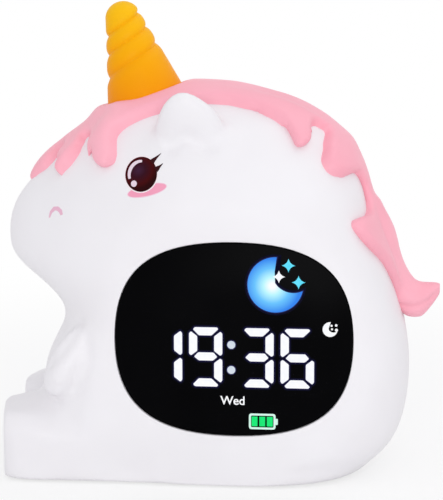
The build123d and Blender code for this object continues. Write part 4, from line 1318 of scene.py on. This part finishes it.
# A lash is a line of points and the width at each, in eye radii.
lash_lines = (
    (
        ((0.60, 0.70), (0.70, 0.82), (0.88, 0.99), (1.02, 1.11), (1.15, 1.24)),
        (0.36, 0.26, 0.13, 0.07, 0.015),
    ),
    (
        ((0.90, 0.28), (1.02, 0.39), (1.14, 0.50), (1.23, 0.58), (1.32, 0.67)),
        (0.34, 0.25, 0.12, 0.07, 0.015),
    ),
)
# The eye ink is dark maroon, and the lighter violet middle up and to the left is a painted sheen.
eye_ink_and_sheen_tones = [
    (0.0, (0.050, 0.014, 0.040)),
    (0.38, (0.036, 0.004, 0.012)),
    (0.75, (0.058, 0.002, 0.003)),
    (1.0, (0.024, 0.001, 0.002)),
]
sides = ((-1, "near"), (1, "far"))
for side, side_name in sides:
    painted_sheen_centre = on_skin(*eye_point(-0.18, 0.22), side, 0)
    eye_ink_and_sheen = ink_with_painted_sheen(side_name + "_eye_ink_and_sheen", painted_sheen_centre, eye_radius * 1.2 * MM, eye_ink_and_sheen_tones, 0.22)
    print_patch(side_name + "_eye_rim", rim_outline, side, 0.03 * MM, rim_ink)
    print_patch(side_name + "_eye", eye_outline, side, 0.07 * MM, eye_ink_and_sheen)
    print_stroke(side_name + "_eye_arc", arc_line, arc_widths, side, 0.11 * MM, glint_ink)
    print_patch(side_name + "_eye_glint", glint_outline, side, 0.11 * MM, glint_ink)
    for number, (line, widths) in enumerate(lash_lines):
        drawn = [eye_point(*point) for point in line]
        broad = [width * eye_radius for width in widths]
        lash_name = side_name + "_lash_" + str(number)
        print_stroke(lash_name, drawn, broad, side, 0.09 * MM, lash_ink)
print("eyes printed")

# %% Cheeks and nostrils
blush_tilt = math.radians(14)
blush_x, blush_z = eye_point(0.43, -0.90)
blush_half = (1.24 * eye_radius, 0.34 * eye_radius)
nostril_line = [(-54.9, 84.5), (-54.4, 86.2), (-53.2, 87.5), (-51.9, 87.6), (-50.8, 86.9), (-50.3, 85.8)]
nostril_widths = [0.5, 0.95, 1.25, 1.4, 1.4, 0.9]
blush_ink = moulded("blush_pink_ink", (0.90, 0.33, 0.48), (0.93, 0.38, 0.53), 0.5)
pale_blush_ink = moulded("blush_pale_ink", (0.88, 0.66, 0.75), (0.90, 0.70, 0.78), 0.5)
nostril_ink = moulded("nostril_pink_ink", (0.80, 0.44, 0.58), (0.84, 0.50, 0.63), 0.5)


def blush_ring(growth):
    """Tilted oval of the cheek's blush."""
    ring = []
    for across, rise in disc(0, 0, 1.0, 48):
        x = across * (blush_half[0] + growth)
        z = rise * (blush_half[1] + growth)
        ring.append((
            blush_x + x * math.cos(blush_tilt) - z * math.sin(blush_tilt),
            blush_z + x * math.sin(blush_tilt) + z * math.cos(blush_tilt),
        ))
    return ring


edge_ring = blush_ring(0.16)
inner_ring = blush_ring(-0.12)
for side, side_name in sides:
    print_patch(side_name + "_blush_edge", edge_ring, side, 0.010 * MM, pale_blush_ink)
    print_patch(side_name + "_blush", inner_ring, side, 0.020 * MM, blush_ink)
    nostril_name = side_name + "_nostril"
    print_stroke(nostril_name, nostril_line, nostril_widths, side, 0.03 * MM, nostril_ink)
print("cheeks and nostrils printed")

# %% [markdown]
# ## Pieces that keep their CAD shape
# The panel, buttons, screws, feet and everything inside are plain machined or moulded shapes, so their CAD
# meshes stay and only get a finish. Metal shows fine brush lines, boards show a faint mottle, and rubber
# and paper are matt with a coarse grain.

# %% Finishes for the CAD pieces
streak_scale = (300, 300, 6000)
board_tones = ((0.010, 0.085, 0.030), (0.016, 0.120, 0.044))
paper_tones = ((0.020, 0.019, 0.018), (0.036, 0.034, 0.032))
rubber_tones = ((0.45, 0.45, 0.46), (0.53, 0.53, 0.54))


def metal(name, low, high, roughness):
    """Bright metal with fine streaks in one direction."""
    finish, tree, shader = new_finish(name, roughness)
    place = tree.nodes.new("ShaderNodeTexCoord")
    stretch = tree.nodes.new("ShaderNodeMapping")
    stretch.inputs["Scale"].default_value = streak_scale
    streak = tree.nodes.new("ShaderNodeTexNoise")
    streak.inputs["Scale"].default_value = 1.0
    tree.links.new(place.outputs["Object"], stretch.inputs["Vector"])
    tree.links.new(stretch.outputs["Vector"], streak.inputs["Vector"])
    ramp = ramp_node(tree, streak.outputs["Fac"], [(0.3, low), (0.7, high)])
    tree.links.new(ramp.outputs["Color"], shader.inputs["Base Color"])
    shader.inputs["Metallic"].default_value = 1.0
    return finish


slot_finishes = {
    "button_pink": moulded("button_pink_plastic", (0.90, 0.36, 0.46), (0.93, 0.42, 0.51), 0.42),
    "black_tape": moulded("bonding_tape", (0.010, 0.010, 0.011), (0.018, 0.018, 0.019), 0.8),
    "reflector_black": moulded("reflector_plastic", (0.014, 0.014, 0.015), (0.022, 0.022, 0.023), 0.6),
    "diffuser_white": moulded("diffuser_plastic", (0.72, 0.73, 0.74), (0.79, 0.80, 0.81), 0.55),
    "led_white": moulded("led_package", (0.74, 0.72, 0.55), (0.82, 0.80, 0.66), 0.4),
    "board_green": moulded("board_lacquer", *board_tones, 0.38, drift=420.0),
    "switch_black": moulded("switch_plastic", (0.016, 0.016, 0.017), (0.026, 0.026, 0.028), 0.5),
    "socket_steel": metal("socket_steel", (0.56, 0.56, 0.57), (0.70, 0.70, 0.71), 0.28),
    "speaker_steel": metal("speaker_steel", (0.42, 0.42, 0.43), (0.54, 0.54, 0.55), 0.36),
    "speaker_paper": moulded("speaker_paper", *paper_tones, 0.85, grain=1400.0, grain_strength=0.6),
    "speaker_ferrite": moulded("speaker_ferrite", (0.030, 0.030, 0.032), (0.048, 0.048, 0.050), 0.7),
    "cell_sleeve": moulded("cell_sleeve", (0.055, 0.120, 0.340), (0.075, 0.150, 0.400), 0.35),
    "cradle_black": moulded("cradle_plastic", (0.016, 0.016, 0.017), (0.026, 0.026, 0.028), 0.55),
    "screw_steel": metal("screw_steel", (0.50, 0.50, 0.51), (0.64, 0.64, 0.65), 0.3),
    "foot_rubber": moulded("foot_rubber", *rubber_tones, 0.85, grain=1800.0, grain_strength=0.5),
    "body_white": body_finish,
    "mane_pink": mane_finish,
    "horn_yellow": horn_finish,
    "smoked_lens": lens_finish,
}
for entry in frame["record"]["subparts"]:
    dress(nodes[entry["node"]], slot_finishes[entry["material_slot"]])
print("finished CAD pieces", len(nodes))

# %% [markdown]
# ## Studio
# The clock stands on a white floor, with even light from all round, a soft lamp above and a soft lamp in
# front. The floor is white to the camera far from the clock, and near it keeps some of the soft shadow, so
# the picture has the clean ground of a catalogue without any more light on the object.

# %% Floor
floor_half = 4.0
floor_tones = [(0.3, (0.93, 0.93, 0.93)), (0.7, (0.95, 0.95, 0.95))]
floor_corners = ((-1, -1), (1, -1), (1, 1), (-1, 1))
clear_start = 0.10
clear_stop = 0.42
clear_least = 0.7


def seen_or_mirrored(tree):
    """1 for rays from the camera, from mirrors and through glass, and 0 for rays that carry light."""
    path = tree.nodes.new("ShaderNodeLightPath")
    total = None
    for ray in ("Is Camera Ray", "Is Glossy Ray", "Is Transmission Ray"):
        if total is None:
            total = path.outputs[ray]
            continue
        join = tree.nodes.new("ShaderNodeMath")
        join.operation = "MAXIMUM"
        tree.links.new(total, join.inputs[0])
        tree.links.new(path.outputs[ray], join.inputs[1])
        total = join.outputs["Value"]
    return total


corners = [(x * floor_half, y * floor_half, 0) for x, y in floor_corners]
floor_mesh = bpy.data.meshes.new("floor")
floor_mesh.from_pydata(corners, [], [(0, 1, 2, 3)])
floor = new_object("floor", floor_mesh)
floor_finish, tree, shader = new_finish("floor_sweep", 0.9)
shader.inputs["Specular IOR Level"].default_value = 0.0
paper = noise_node(tree, 8.0)
paper_tone = ramp_node(tree, paper.outputs["Fac"], floor_tones)
tree.links.new(paper_tone.outputs["Color"], shader.inputs["Base Color"])
place = tree.nodes.new("ShaderNodeTexCoord")
away = tree.nodes.new("ShaderNodeVectorMath")
away.operation = "LENGTH"
span = tree.nodes.new("ShaderNodeMapRange")
span.interpolation_type = "SMOOTHSTEP"
span.inputs["From Min"].default_value = clear_start
span.inputs["From Max"].default_value = clear_stop
span.inputs["To Min"].default_value = clear_least
glow = tree.nodes.new("ShaderNodeEmission")
mix = tree.nodes.new("ShaderNodeMixShader")
gate = tree.nodes.new("ShaderNodeMath")
gate.operation = "MULTIPLY"
tree.links.new(place.outputs["Object"], away.inputs[0])
tree.links.new(away.outputs["Value"], span.inputs["Value"])
tree.links.new(span.outputs["Result"], gate.inputs[0])
tree.links.new(seen_or_mirrored(tree), gate.inputs[1])
tree.links.new(gate.outputs["Value"], mix.inputs["Fac"])
tree.links.new(shader.outputs["BSDF"], mix.inputs[1])
tree.links.new(glow.outputs["Emission"], mix.inputs[2])
tree.links.new(mix.outputs["Shader"], tree.nodes["Material Output"].inputs["Surface"])
dress(floor, floor_finish)
print("floor", 2 * floor_half, "m wide")

# %% World and lamps
# A lamp row is its name, its place, its width and its power.
world_light = 0.785
world_tint = (0.97, 0.97, 1.0, 1)
lamp_target = Vector((0, 0, 0.07))
lamp_specs = (
    ("top_soft_box", (0.30, 0.04, 0.66), 0.6, 0.6),
    ("front_soft_box", (0.12, -0.95, 0.20), 0.5, 1.85),
)
world = bpy.data.worlds.new("studio")
scene.world = world
world.use_nodes = True
tree = world.node_tree
around = tree.nodes["Background"]
around.inputs["Color"].default_value = world_tint
around.inputs["Strength"].default_value = world_light
seen = tree.nodes.new("ShaderNodeBackground")
seen.inputs["Color"].default_value = (1, 1, 1, 1)
mix = tree.nodes.new("ShaderNodeMixShader")
tree.links.new(seen_or_mirrored(tree), mix.inputs["Fac"])
tree.links.new(around.outputs["Background"], mix.inputs[1])
tree.links.new(seen.outputs["Background"], mix.inputs[2])
tree.links.new(mix.outputs["Shader"], tree.nodes["World Output"].inputs["Surface"])

for lamp_name, place, width, power in lamp_specs:
    lamp_data = bpy.data.lights.new(lamp_name, "AREA")
    lamp_data.energy = power
    lamp_data.shape = "DISK"
    lamp_data.size = width
    lamp = bpy.data.objects.new(lamp_name, lamp_data)
    lamp.location = place
    lamp.rotation_euler = (lamp_target - lamp.location).to_track_quat("-Z", "Y").to_euler()
    scene.collection.objects.link(lamp)
print("lamps", len(lamp_specs), "world", world_light)
